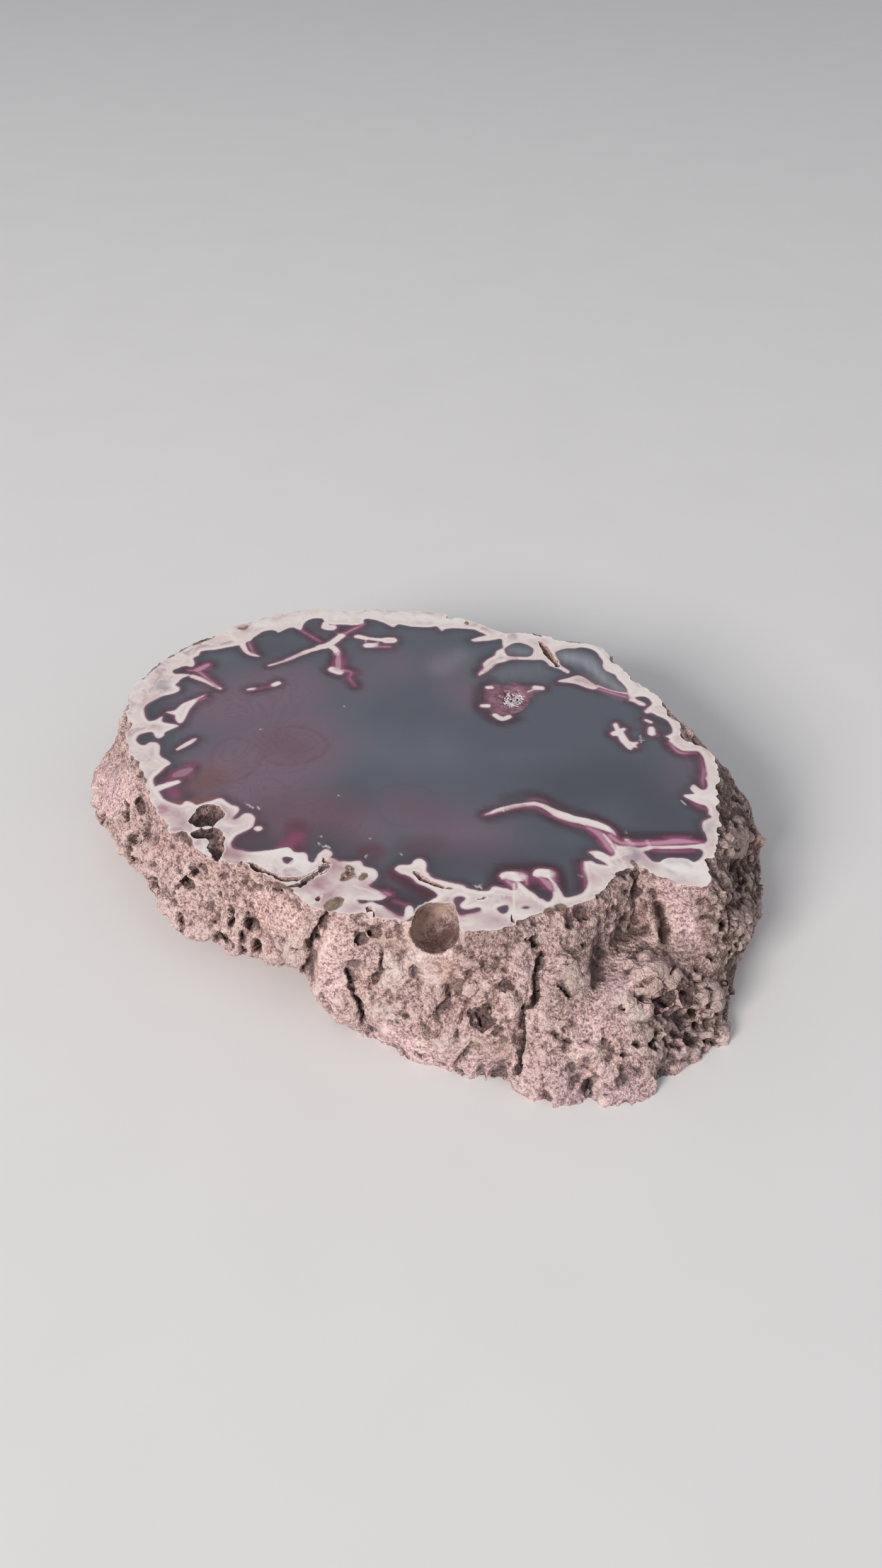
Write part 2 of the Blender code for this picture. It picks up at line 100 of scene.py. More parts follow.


# The pattern of the polished face, traced from the photo, in photo pixels

# Edge of the grey agate against the cream chalcedony, from the far side round the left
agateEdge = [
    (795, 1014), (780, 1016), (767, 1017), (753, 1018), (748, 1015), (760, 1011), (773, 1008),
    (762, 1003), (753, 999), (743, 998), (720, 997), (708, 998), (702, 1001), (698, 998),
    (693, 994), (683, 995), (667, 995), (650, 994), (633, 991), (625, 995), (617, 992),
    (608, 988), (600, 985), (590, 983), (583, 982), (578, 984), (577, 991), (560, 992),
    (542, 991), (527, 991), (516, 988), (512, 982), (502, 981), (492, 983), (484, 988),
    (480, 996), (477, 1000), (467, 996), (460, 996), (450, 1000), (442, 1004), (437, 1001),
    (430, 1000), (417, 1002), (410, 1007), (403, 1012), (398, 1017), (391, 1020), (392, 1027),
    (395, 1033), (405, 1038), (413, 1042), (400, 1041), (390, 1037), (382, 1028), (379, 1024),
    (360, 1027), (340, 1031), (320, 1033), (315, 1040), (307, 1044), (309, 1052), (306, 1058),
    (293, 1057), (283, 1060), (275, 1064), (278, 1069), (293, 1069), (303, 1071), (290, 1076),
    (283, 1082), (278, 1087), (285, 1091), (283, 1097), (270, 1102), (257, 1105), (245, 1111),
    (235, 1117), (230, 1123), (229, 1132), (232, 1140), (238, 1144), (248, 1142), (257, 1137),
    (257, 1144), (263, 1147), (277, 1149), (284, 1152), (273, 1157), (263, 1162), (260, 1168),
    (251, 1172), (245, 1168), (242, 1162), (235, 1162), (223, 1165), (217, 1170), (216, 1176),
    (222, 1181), (230, 1182), (237, 1178), (247, 1178), (253, 1182), (254, 1188), (253, 1197),
    (260, 1203), (267, 1207), (271, 1212), (262, 1218), (252, 1227), (245, 1233), (243, 1238),
    (246, 1248), (253, 1257), (260, 1267), (273, 1274), (287, 1277), (292, 1272), (298, 1271),
    (307, 1274), (312, 1277), (323, 1274), (337, 1270), (345, 1267), (353, 1267), (360, 1273),
    (367, 1277), (375, 1279), (379, 1283), (377, 1290), (370, 1299), (378, 1298), (385, 1292),
    (392, 1290), (400, 1292), (405, 1298), (403, 1307), (400, 1313), (392, 1318), (382, 1322),
    (373, 1328), (368, 1335), (367, 1342), (371, 1347), (382, 1349), (393, 1351), (405, 1351),
    (417, 1350), (440, 1347), (457, 1345), (465, 1351), (472, 1353), (483, 1353), (489, 1358),
    (489, 1365), (494, 1368), (498, 1367), (501, 1362), (504, 1355), (510, 1350), (518, 1347),
    (527, 1352), (528, 1357), (524, 1361), (530, 1362), (538, 1367), (547, 1367), (558, 1367),
    (572, 1366), (576, 1373), (583, 1376), (592, 1378), (598, 1382), (600, 1388), (597, 1395),
    (590, 1401), (585, 1404), (588, 1408), (598, 1412), (608, 1417), (614, 1422), (608, 1427),
    (598, 1429), (585, 1429), (568, 1427), (570, 1433), (578, 1434), (585, 1431), (592, 1431),
    (600, 1435), (607, 1437), (615, 1442), (622, 1447), (630, 1452), (637, 1454), (641, 1453),
    (642, 1447), (644, 1439), (648, 1436), (654, 1438), (657, 1443), (657, 1450), (662, 1447),
    (668, 1440), (678, 1432), (688, 1426), (694, 1422), (692, 1417), (685, 1412), (675, 1407),
    (663, 1402), (657, 1397), (652, 1392), (645, 1389), (635, 1386), (627, 1380), (628, 1376),
    (635, 1372), (647, 1372), (654, 1370), (657, 1366), (663, 1363), (670, 1363), (675, 1367),
    (677, 1374), (677, 1382), (682, 1387), (685, 1392), (697, 1396), (710, 1399), (723, 1402),
    (735, 1405), (743, 1410), (752, 1412), (760, 1414), (770, 1414), (778, 1412), (783, 1407),
    (795, 1408), (807, 1410), (813, 1412), (818, 1407), (818, 1401), (824, 1399), (833, 1407),
    (840, 1412), (848, 1418), (855, 1424), (862, 1427), (868, 1431), (873, 1430), (877, 1423),
    (877, 1417), (875, 1407), (871, 1394), (875, 1391), (882, 1400), (887, 1408), (892, 1417),
    (895, 1422), (900, 1424), (915, 1421), (923, 1417), (930, 1410), (932, 1402), (930, 1390),
    (927, 1382), (926, 1368), (932, 1366), (940, 1366), (947, 1370), (957, 1372), (965, 1373),
    (957, 1367), (947, 1362), (938, 1355), (934, 1352), (940, 1350), (953, 1351), (963, 1356),
    (969, 1359), (973, 1357), (974, 1352), (972, 1342), (968, 1334), (977, 1338), (982, 1341),
    (993, 1341), (1000, 1340), (1007, 1343), (1015, 1345), (1030, 1342), (1040, 1344),
    (1050, 1343), (1060, 1341), (1080, 1342), (1090, 1341), (1102, 1340), (1120, 1336),
    (1122, 1330), (1120, 1322), (1116, 1317), (1114, 1310), (1118, 1302), (1129, 1297),
    (1125, 1292), (1124, 1285), (1120, 1279), (1110, 1276), (1098, 1270), (1090, 1266),
    (1085, 1262), (1092, 1260), (1102, 1260), (1098, 1255), (1095, 1250), (1100, 1245),
    (1105, 1247), (1112, 1252), (1120, 1252), (1123, 1246), (1122, 1240), (1119, 1235),
    (1122, 1228), (1119, 1220), (1118, 1210), (1116, 1202), (1112, 1196), (1107, 1192),
    (1092, 1192), (1083, 1191), (1077, 1188), (1070, 1184), (1062, 1177), (1062, 1172),
    (1056, 1168), (1062, 1166), (1067, 1162), (1067, 1156), (1063, 1149), (1058, 1143),
    (1050, 1139), (1043, 1136), (1038, 1133), (1033, 1131), (1027, 1132), (1023, 1129),
    (1026, 1125), (1031, 1121), (1035, 1117), (1033, 1112), (1027, 1107), (1020, 1105),
    (1012, 1105), (1008, 1107), (1012, 1111), (1018, 1113), (1024, 1117), (1023, 1120),
    (1015, 1119), (1008, 1115), (1003, 1113), (998, 1111), (997, 1102), (995, 1093),
    (988, 1085), (980, 1077), (977, 1071), (968, 1067), (960, 1063), (957, 1057), (957, 1050),
    (952, 1042), (948, 1036), (943, 1032), (935, 1029), (923, 1027), (912, 1029), (900, 1029),
    (890, 1031), (882, 1035), (882, 1040), (885, 1045), (890, 1056), (898, 1061), (904, 1065),
    (902, 1069), (890, 1063), (880, 1059), (873, 1057), (867, 1051), (860, 1047), (833, 1047),
    (810, 1047), (801, 1050), (788, 1053), (782, 1058), (777, 1063), (769, 1068), (761, 1072),
    (760, 1068), (767, 1060), (767, 1053), (773, 1047), (785, 1040), (788, 1033), (798, 1028),
    (797, 1022),
]

# Small windows of grey agate inside the cream
agateWindows = [
    [(801, 1029), (807, 1025), (815, 1021), (823, 1020), (833, 1022), (840, 1025), (847, 1030),
     (845, 1038), (838, 1042), (823, 1042), (807, 1041), (802, 1035)],
    [(720, 1428), (723, 1424), (730, 1422), (737, 1424), (738, 1427), (733, 1432), (730, 1437),
     (733, 1441), (740, 1443), (750, 1442), (758, 1440), (763, 1441), (763, 1444), (755, 1448),
     (743, 1450), (733, 1452), (725, 1450), (722, 1445), (721, 1438)],
    [(788, 1442), (795, 1438), (805, 1436), (807, 1440), (806, 1447), (802, 1450), (795, 1449)],
    [(828, 1441), (833, 1438), (842, 1439), (837, 1442)],
    [(1022, 1352), (1030, 1349), (1040, 1347), (1067, 1347), (1093, 1346), (1105, 1347),
     (1112, 1348), (1116, 1353), (1114, 1359), (1108, 1365), (1102, 1368), (1097, 1366),
     (1087, 1362), (1063, 1361), (1053, 1364), (1047, 1368), (1037, 1367), (1030, 1362)],
    [(448, 1361), (456, 1359), (465, 1362), (464, 1368), (457, 1371), (450, 1368)],
]

# White and cream shapes that lie in the grey agate
whiteIslands = [
    [(973, 1149), (979, 1147), (982, 1152), (984, 1156), (990, 1155), (994, 1157), (990, 1161),
     (992, 1166), (997, 1173), (1002, 1177), (1010, 1177), (1015, 1178), (1010, 1182),
     (1012, 1187), (1006, 1186), (1002, 1190), (996, 1188), (990, 1182), (984, 1175),
     (980, 1168), (973, 1168), (969, 1164), (972, 1161), (976, 1159), (974, 1154)],
    [(767, 1294), (780, 1287), (790, 1283), (800, 1280), (812, 1277), (823, 1275), (835, 1273),
     (847, 1272), (857, 1274), (867, 1277), (877, 1282), (890, 1287), (903, 1291), (917, 1296),
     (930, 1298), (945, 1302), (958, 1307), (968, 1313), (975, 1320), (978, 1327), (973, 1325),
     (965, 1320), (952, 1316), (940, 1313), (928, 1310), (917, 1307), (903, 1304), (890, 1300),
     (878, 1294), (870, 1288), (862, 1283), (853, 1280), (843, 1279), (833, 1280), (820, 1282),
     (807, 1285), (793, 1288), (780, 1292)],
    [(327, 1102), (313, 1107), (300, 1112), (287, 1118), (277, 1127), (264, 1130), (277, 1135),
     (278, 1140), (283, 1147), (290, 1146), (295, 1138), (300, 1128), (305, 1122), (313, 1113)],
    [(885, 1081), (900, 1076), (915, 1072), (923, 1073), (933, 1078), (945, 1087), (950, 1092),
     (940, 1094), (927, 1090), (913, 1085), (897, 1083)],
]

# White strokes in the agate: radius in mm at each point, then the pixels
whiteStrokes = [
    ([1.3, 1.3, 1.2, 1.1], [(507, 1027), (520, 1024), (531, 1017), (543, 1008)]),
    ([1.1, 0.9, 0.8, 0.6, 0.35], [(510, 1027), (493, 1032), (477, 1038), (453, 1048), (427, 1056)]),
    ([1.2, 1.1, 0.9], [(522, 1024), (532, 1030), (536, 1038)]),
    ([1.5, 1.5], [(529, 1062), (539, 1066)]),
    ([1.0, 1.0], [(567, 1010), (582, 1013)]),
    ([0.7, 0.9], [(582, 1013), (612, 1016)]),
    ([1.5, 1.5], [(613, 1016), (623, 1016)]),
    ([1.3, 1.3], [(583, 1024), (594, 1024)]),
    ([1.5, 1.5, 1.0], [(527, 996), (518, 995), (517, 989)]),
    ([0.8, 0.8, 0.4], [(305, 1073), (325, 1080), (350, 1093)]),
    ([0.5, 0.8, 0.4], [(282, 1189), (296, 1181), (310, 1173)]),
    ([0.5, 0.6], [(394, 1094), (403, 1093)]),
    ([0.9, 0.9], [(434, 1087), (442, 1084)]),
    ([1.2, 1.1, 0.8], [(233, 1258), (262, 1247), (282, 1241)]),
    ([0.9, 0.9], [(408, 1315), (411, 1315)]),
    ([0.7, 0.7], [(1026, 1143), (1033, 1146)]),
    ([1.0, 1.0], [(1034, 1156), (1034, 1164)]),
    ([0.4, 0.35, 0.3], [(948, 1088), (970, 1096), (998, 1101)]),
    ([1.4, 1.7, 1.4], [(802, 1390), (816, 1391), (829, 1392)]),
    ([1.5, 1.6, 1.4], [(856, 1386), (866, 1386), (873, 1387)]),
    ([0.8, 0.6], [(995, 1334), (1005, 1340)]),
    ([0.7, 0.7], [(1028, 1336), (1032, 1341)]),
    ([0.8, 0.8], [(774, 1091), (780, 1091)]),
    ([1.0, 0.9], [(850, 1091), (860, 1092)]),
    ([0.8, 0.8], [(766, 1120), (775, 1120)]),
    ([0.9, 1.0, 0.9], [(786, 1135), (797, 1141), (808, 1137)]),
    ([0.3, 0.25], [(833, 1100), (849, 1093)]),
]

# Pink and magenta shapes: strength, radius in mm at each point, then the pixels
pinkStrokes = [
    (0.8, [0.7, 0.8, 0.7], [(479, 1001), (493, 1009), (508, 1018)]),
    (0.9, [0.9, 1.0, 0.8], [(548, 1005), (562, 998), (577, 991)]),
    (1.0, [1.1, 1.4, 1.3], [(537, 1038), (537, 1050), (537, 1060)]),
    (0.9, [1.0, 0.8, 0.7, 0.6, 0.4], [(545, 1064), (558, 1067), (554, 1075), (558, 1081), (564, 1089)]),
    (0.5, [0.6, 0.4], [(480, 1037), (440, 1052)]),
    (0.7, [1.0, 1.1], [(598, 1026), (618, 1026)]),
    (1.0, [1.6, 1.3], [(314, 1063), (330, 1055)]),
    (0.9, [1.0, 0.7], [(316, 1066), (345, 1089)]),
    (0.8, [0.9, 0.8], [(314, 1063), (300, 1064)]),
    (0.7, [0.9, 0.9], [(318, 1110), (325, 1108)]),
    (0.8, [0.45, 0.45], [(404, 1094), (431, 1089)]),
    (0.6, [1.6, 2.0, 1.4], [(279, 1230), (290, 1226), (301, 1221)]),
    (0.6, [0.8, 0.9], [(806, 1045), (818, 1045)]),
    (0.6, [1.0, 1.1], [(768, 1064), (783, 1050)]),
    (0.9, [0.9, 1.0, 0.8], [(952, 1094), (975, 1101), (997, 1107)]),
    (0.9, [0.7, 0.9, 0.9, 0.5], [(1063, 1180), (1074, 1191), (1084, 1195), (1105, 1194)]),
    (0.6, [0.5, 0.7, 1.0, 1.0, 0.6], [(1112, 1201), (1115, 1212), (1117, 1226), (1115, 1238), (1117, 1250)]),
    (0.5, [0.5, 0.8, 0.5], [(1098, 1274), (1110, 1280), (1122, 1285)]),
    (0.8, [0.3, 0.5, 0.6], [(776, 1293), (815, 1281), (850, 1280)]),
    (0.7, [0.5, 0.5, 0.6, 0.7], [(850, 1281), (880, 1297), (915, 1310), (955, 1320)]),
    (0.5, [0.5, 0.6, 0.4], [(838, 1271), (852, 1268), (868, 1273)]),
    (1.0, [0.8, 1.4, 1.7, 1.5, 0.6], [(932, 1313), (950, 1322), (962, 1334), (968, 1345), (972, 1355)]),
    (1.0, [1.2, 1.1, 1.2, 1.1], [(968, 1326), (985, 1337), (1012, 1339), (1030, 1338)]),
    (1.2, [1.2, 1.3, 1.5, 1.3, 0.5], [(1036, 1338), (1055, 1337), (1072, 1335), (1090, 1335), (1116, 1337)]),
    (0.8, [0.5, 0.6, 0.5], [(1038, 1350), (1070, 1351), (1102, 1350)]),
    (1.0, [1.0, 1.0, 0.7], [(828, 1387), (834, 1393), (836, 1403)]),
    (1.0, [0.9, 1.2, 0.8], [(804, 1397), (812, 1403), (817, 1409)]),
    (1.0, [0.9, 1.3, 0.9], [(858, 1394), (868, 1401), (875, 1411)]),
    (0.9, [0.7, 0.7], [(877, 1384), (880, 1397)]),
    (0.5, [0.6, 0.8, 0.5], [(924, 1372), (928, 1392), (929, 1408)]),
    (0.7, [1.0, 1.0], [(610, 1416), (618, 1419)]),
    (0.6, [0.6, 0.6], [(626, 1430), (644, 1436)]),
    (0.7, [0.5, 0.6, 0.5], [(610, 1441), (622, 1449), (636, 1456)]),
    (0.6, [0.5, 0.6, 0.5], [(728, 1453), (745, 1453), (762, 1447)]),
    (0.6, [0.9, 0.9], [(395, 1020), (402, 1036)]),
]

# Soft stains by kind, with the sheen, which is painted reflection, and the pale kind, partly painted
# reflection: strength, radius and softness in mm, then the pixels
stainsAndSheen = {
    "plum": [
        (0.75, 16, 14, [(360, 1120), (440, 1100)]), (0.9, 18, 16, [(380, 1240), (450, 1180)]),
        (0.75, 12, 12, [(560, 1320), (480, 1290)]), (0.6, 12, 13, [(640, 1290), (760, 1330)]),
        (0.45, 12, 12, [(620, 1060), (560, 1080)]), (0.5, 8, 8, [(740, 1110), (700, 1050)]),
        (0.4, 8, 9, [(800, 1350), (730, 1290)]), (0.45, 9, 9, [(1080, 1240), (1090, 1210)]),
    ],
    "wine": [
        (0.8, 3.6, 2.6, [(470, 1312), (463, 1345)]),
        (0.95, 2.0, 1.8, [(624, 1388), (655, 1402), (686, 1419)]),
        (0.45, 3.0, 3.0, [(400, 1335), (380, 1332)]),
        (0.7, 1.6, 1.6, [(578, 1352), (590, 1345), (602, 1352), (592, 1361)]),
        (0.25, 5, 5, [(520, 1275), (560, 1272)]), (0.35, 5, 5, [(440, 1175), (470, 1190)]),
        (0.4, 3, 3, [(655, 1345), (690, 1340)]), (0.36, 7, 7, [(430, 1296), (500, 1286), (540, 1284)]),
        (0.2, 5, 5, [(640, 1275), (690, 1292)]),
    ],
    "dark": [
        (0.8, 1.6, 1.6, [(786, 1398), (800, 1378), (830, 1376), (860, 1374), (882, 1382), (893, 1412)]),
        (0.7, 1.2, 1.2, [(812, 1402), (838, 1400), (850, 1408)]),
        (0.7, 1.0, 1.4, [(800, 1266), (845, 1258), (900, 1281), (960, 1302), (990, 1325)]),
        (0.8, 1.0, 1.2, [(990, 1326), (1040, 1326), (1112, 1328)]),
        (0.5, 1.0, 1.4, [(775, 1302), (845, 1292), (900, 1312), (930, 1326)]),
        (0.7, 1.6, 1.4, [(780, 1078), (762, 1092), (760, 1125), (790, 1146), (822, 1140)]),
        (0.6, 1.4, 1.4, [(640, 1398), (668, 1414), (684, 1424)]),
        (0.5, 1.0, 1.2, [(1030, 1140), (1060, 1150)]),
        (0.6, 0.9, 1.0, [(522, 1050), (520, 1068), (540, 1076)]),
        (0.5, 1.4, 1.6, [(248, 1225), (262, 1248), (300, 1262)]),
        (0.5, 1.0, 1.2, [(925, 1062), (965, 1092), (995, 1110)]),
    ],
    "slate": [
        (0.6, 5, 5, [(560, 1350), (510, 1330)]), (0.5, 6, 6, [(660, 1370), (820, 1370)]),
        (0.8, 3.2, 2.4, [(610, 1436), (650, 1425), (672, 1428)]),
        (0.85, 2.4, 1.8, [(990, 1326), (1040, 1327), (1110, 1327)]),
        (0.8, 3.4, 1.8, [(800, 1385), (870, 1385), (880, 1400)]),
        (0.7, 3.0, 2.4, [(845, 1410), (862, 1420)]), (0.5, 4, 4, [(255, 1125), (250, 1150)]),
        (0.5, 4, 4, [(280, 1260), (330, 1240)]), (0.55, 3.2, 2.4, [(385, 1335), (420, 1335)]),
        (0.35, 6, 8, [(400, 1040), (440, 1030)]), (0.45, 9, 9, [(900, 1250), (1000, 1240), (1060, 1300)]),
        (0.3, 10, 9, [(880, 1350), (900, 1390)]),
    ],
    # Painted reflection: lighter streaks where the polish reflects light
    "sheen": [
        (0.9, 2.5, 3, [(895, 1042), (930, 1050), (965, 1085), (990, 1100)]),
        (0.55, 2, 3, [(812, 1032), (835, 1034)]), (0.25, 3, 5, [(790, 1070), (850, 1062)]),
        (0.3, 3, 4, [(700, 1060), (730, 1040)]),
    ],
    # Partly the agate's own paler grey, partly a painted soft reflection on the polish
    "pale": [
        (0.5, 13, 16, [(540, 1150), (620, 1200), (700, 1190)]), (0.4, 6, 8, [(800, 1200), (900, 1200)]),
        (0.5, 4, 4, [(360, 1045), (385, 1055)]), (0.4, 4, 5, [(840, 1330), (900, 1330)]),
        (0.45, 3, 3, [(990, 1165), (1010, 1195)]), (0.6, 1.0, 1.4, [(616, 1408), (630, 1404)]),
        (0.35, 4, 4, [(1090, 1235), (1085, 1260)]),
    ],
    "magenta": [
        (0.6, 1.6, 1.3, [(473, 1327), (460, 1338), (447, 1346)]),
        (0.8, 0.8, 0.9, [(269, 1234), (271, 1238)]), (0.7, 1.3, 1.2, [(268, 1247), (278, 1262)]),
        (0.6, 1.0, 1.2, [(303, 1215), (308, 1210)]),
    ],
    "rust": [
        (0.75, 1.2, 1.2, [(274, 1275), (288, 1277)]),
        (0.7, 1.0, 1.2, [(306, 1273), (325, 1272), (342, 1268)]), (0.3, 4, 4, [(320, 1245), (345, 1225)]),
    ],
    "blush": [
        (0.7, 2.0, 1.8, [(257, 1284), (280, 1293)]), (0.6, 2.0, 1.8, [(285, 1300), (300, 1312)]),
        (0.8, 2.4, 2.0, [(376, 1356), (352, 1350)]), (0.7, 1.4, 1.4, [(350, 1285), (372, 1300)]),
        (0.7, 2.2, 2.2, [(480, 1405), (520, 1390), (530, 1370)]),
        (0.65, 2.2, 2.0, [(520, 1425), (505, 1440)]), (0.5, 2.2, 2.0, [(545, 1405), (600, 1408)]),
        (0.6, 1.4, 1.4, [(550, 1442), (565, 1441)]), (0.55, 1.6, 1.8, [(600, 1452), (630, 1462)]),
        (0.5, 1.4, 1.6, [(712, 1430), (716, 1445), (725, 1458)]),
        (0.45, 2.0, 2.0, [(765, 1458), (790, 1458)]), (0.4, 1.6, 1.8, [(815, 1430), (850, 1440)]),
        (0.4, 2.0, 2.0, [(960, 1390), (940, 1395)]),
        (0.6, 1.4, 1.6, [(1018, 1356), (1030, 1370), (1040, 1376)]),
        (0.25, 1.2, 1.6, [(1065, 1400), (1105, 1393)]), (0.3, 2.0, 2.0, [(1125, 1330), (1130, 1300)]),
        (0.4, 1.6, 1.6, [(250, 1108), (228, 1120)]), (0.5, 1.6, 1.6, [(945, 1084), (920, 1078)]),
        (0.9, 1.2, 1.2, [(499, 1405), (506, 1402)]), (0.9, 1.0, 0.8, [(499, 1405), (506, 1402)]),
    ],
    "mist": [
        (0.8, 1.6, 1.6, [(253, 1088), (256, 1089)]), (0.7, 1.2, 1.4, [(1004, 1347), (1008, 1360)]),
        (0.55, 0.5, 0.8, [(1060, 1366), (1086, 1366), (1094, 1374)]),
        (0.6, 0.4, 0.6, [(1062, 1382), (1076, 1387), (1084, 1388)]),
        (0.5, 0.8, 1.0, [(1122, 1318), (1128, 1310)]), (0.6, 1.2, 1.2, [(524, 1047), (526, 1047)]),
    ],
    "milk": [
        (1.0, 3.4, 2.4, [(1045, 1372), (1080, 1376), (1112, 1385)]),
        (0.7, 1.0, 1.2, [(770, 1452), (830, 1450), (900, 1432)]),
        (0.8, 0.8, 1.0, [(590, 1430), (650, 1446), (706, 1420)]),
        (0.8, 1.4, 1.2, [(430, 1410), (460, 1415), (490, 1402)]),
        (0.8, 2.0, 1.6, [(420, 1360), (450, 1350), (480, 1372)]),
        (0.7, 1.6, 1.2, [(816, 1391), (866, 1386)]), (0.8, 1.4, 1.2, [(1090, 1262), (1130, 1266)]),
        (0.6, 1.6, 1.4, [(1128, 1310), (1120, 1320)]),
        (0.6, 2.0, 2.0, [(410, 992), (560, 975), (720, 984)]),
        (0.6, 2.0, 2.0, [(840, 1010), (930, 1022), (1000, 1090), (1050, 1110)]),
        (0.7, 1.2, 1.2, [(282, 1232), (290, 1229)]),
        (0.7, 1.0, 1.0, [(890, 1292), (930, 1302), (962, 1312)]),
        (0.6, 1.2, 1.0, [(650, 1368), (668, 1372)]), (0.5, 1.2, 1.2, [(560, 1378), (590, 1388)]),
        (0.6, 1.2, 1.2, [(575, 1418), (605, 1421)]),
    ],
}

# Hair-thin bright veins: radius in mm at each point, then the pixels
veins = [
    ([0.22, 0.22, 0.2], [(816, 1402), (816, 1430), (815, 1464)]),
    ([0.2, 0.25, 0.15], [(824, 1405), (833, 1415), (838, 1422)]),
    ([0.15, 0.15], [(868, 1387), (877, 1400)]),
    ([0.15, 0.25, 0.2, 0.15], [(958, 1324), (970, 1338), (978, 1352), (995, 1376)]),
    ([0.15, 0.2, 0.15], [(1020, 1374), (1048, 1398), (1062, 1410)]),
    ([0.15, 0.18, 0.18, 0.15], [(1030, 1343), (1060, 1344), (1090, 1343), (1116, 1340)]),
    ([0.12, 0.2, 0.12], [(780, 1290), (792, 1284), (798, 1281)]),
    ([0.15, 0.15], [(735, 1440), (775, 1425)]),
    ([0.12, 0.15, 0.12], [(690, 1400), (740, 1412), (800, 1420)]),
    ([0.12, 0.15, 0.12], [(840, 1420), (860, 1434), (880, 1440)]),
    ([0.15, 0.12], [(945, 1360), (985, 1378)]),
    ([0.12, 0.12], [(560, 1405), (600, 1418)]),
    ([0.15, 0.12], [(440, 1385), (470, 1362)]),
]

# Faint growth rings in the agate: middle in pixels, half sizes in mm, line radius in mm, strength
growthRings = [
    ((467, 1183), (8.5, 8.0), 0.45, 0.5), ((467, 1183), (6.2, 5.6), 0.3, 0.35),
    ((641, 1275), (7.6, 7.8), 0.4, 0.28), ((641, 1275), (5.6, 5.2), 0.3, 0.16),
    ((500, 1270), (8.8, 4.4), 0.35, 0.4), ((520, 1276), (6.0, 3.2), 0.3, 0.35),
    ((372, 1205), (6.6, 9.0), 0.35, 0.35), ((690, 1150), (9.0, 7.5), 0.35, 0.15),
]

# Dust and fine scratches on the polish: radius in mm, then the pixels
dust = [
    (0.16, [(392, 1276), (402, 1282)]), (0.12, [(505, 1337), (507, 1342)]),
    (0.2, [(509, 1327), (510, 1328)]), (0.2, [(513, 1344), (518, 1342), (523, 1346)]),
    (0.14, [(586, 1330), (587, 1331)]), (0.14, [(580, 1361), (582, 1357)]),
    (0.2, [(792, 1287), (796, 1282), (799, 1287)]),
    (0.16, [(753, 1405), (758, 1408), (761, 1404), (764, 1409)]), (0.15, [(993, 1321), (994, 1322)]),
    (0.16, [(923, 1390), (924, 1391)]), (0.12, [(1082, 1270), (1088, 1277)]),
    (0.1, [(1016, 1167), (1018, 1178)]), (0.1, [(1014, 1175), (1022, 1175)]),
    (0.15, [(546, 1120), (547, 1121)]), (0.12, [(413, 1157), (416, 1158)]),
    (0.12, [(536, 1262), (540, 1263)]), (0.12, [(408, 1280), (412, 1284)]),
    (0.12, [(636, 1355), (637, 1356)]),
]

# Bits of rind that show in the polished face: radius in mm at each point, then the pixels
rindSpots = [
    ([0.4, 0.9, 0.4, 0.9, 0.5], [(338, 1011), (318, 1018), (302, 1025), (284, 1032), (268, 1043)]),
    ([0.4, 0.8, 0.5], [(252, 1053), (238, 1065), (226, 1076)]),
    ([0.4, 0.7, 0.4], [(824, 1002), (842, 1004), (860, 1010)]),
    ([0.5, 0.8, 0.5], [(892, 1015), (915, 1018), (940, 1021)]),
    ([1.7, 1.5, 1.2], [(524, 1438), (532, 1434), (538, 1428)]),
    ([1.6, 1.2, 0.8], [(552, 1388), (548, 1392), (543, 1396)]),
    ([0.6, 0.8, 0.5], [(560, 1380), (552, 1377), (556, 1383)]),
    ([1.0, 0.8], [(578, 1390), (574, 1394)]),
    ([0.8, 0.6], [(846, 1458), (858, 1452)]),
    ([0.6, 1.3, 1.5, 1.3, 0.8], [(382, 1378), (404, 1394), (428, 1404), (448, 1411), (462, 1414)]),
    ([1.0, 1.5, 1.0], [(268, 1330), (284, 1338), (296, 1346)]),
    ([0.5, 0.9, 0.6], [(640, 1468), (652, 1462), (658, 1456)]),
    ([1.3, 1.5, 1.2], [(868, 1450), (880, 1444), (892, 1440)]),
    ([0.6, 0.6], [(1004, 1366), (1008, 1372)]),
    ([1.2, 1.0], [(1094, 1424), (1106, 1420)]),
    ([1.0, 1.2], [(222, 1232), (226, 1240)]),
    ([0.6, 0.6], [(741, 988), (742, 990)]),
    ([0.6, 0.6, 0.5], [(380, 997), (387, 998), (392, 994)]),
    ([0.9, 1.1, 0.9], [(1060, 1116), (1068, 1128), (1076, 1136)]),
    ([1.0, 1.2, 1.0], [(1084, 1158), (1088, 1166), (1092, 1174)]),
    ([0.7, 0.7], [(1140, 1284), (1146, 1290)]),
    ([0.8, 0.6], [(970, 1046), (976, 1052)]),
]
ringShare = 0.55                     # how strongly the growth rings show
dustShare = 0.8                      # and the dust

# Where each mask fades in, in mm inside (above 0) or outside the outlines
fades = {
    "pink": (-0.45, 0.45),
    "halo": (-3.0, -0.6),
    "border": (-3.4, -0.3),
    "ring": (-0.7, 0.3),
    "collar": (-0.7, 0.5),
    "vein": (-0.22, 0.1),
    "dust": (-0.15, 0.1),
}
print("pattern: edge of", len(agateEdge), "points,", sum(map(len, stainsAndSheen.values())), "stainsAndSheen")


# Distances on the flat of the face, all in mm

farOutside = -1000.0                 # farther out than any place is
justOutside = -20.0                  # far enough out for a mask to be without effect
farFromRim = 20.0                    # stands for any distance where the sawn edge has no effect
lineStep = 0.4                       # between the points of a traced line
tiny = 1e-9                          # keeps divisions from failing
batch = 3000                         # places measured at a time


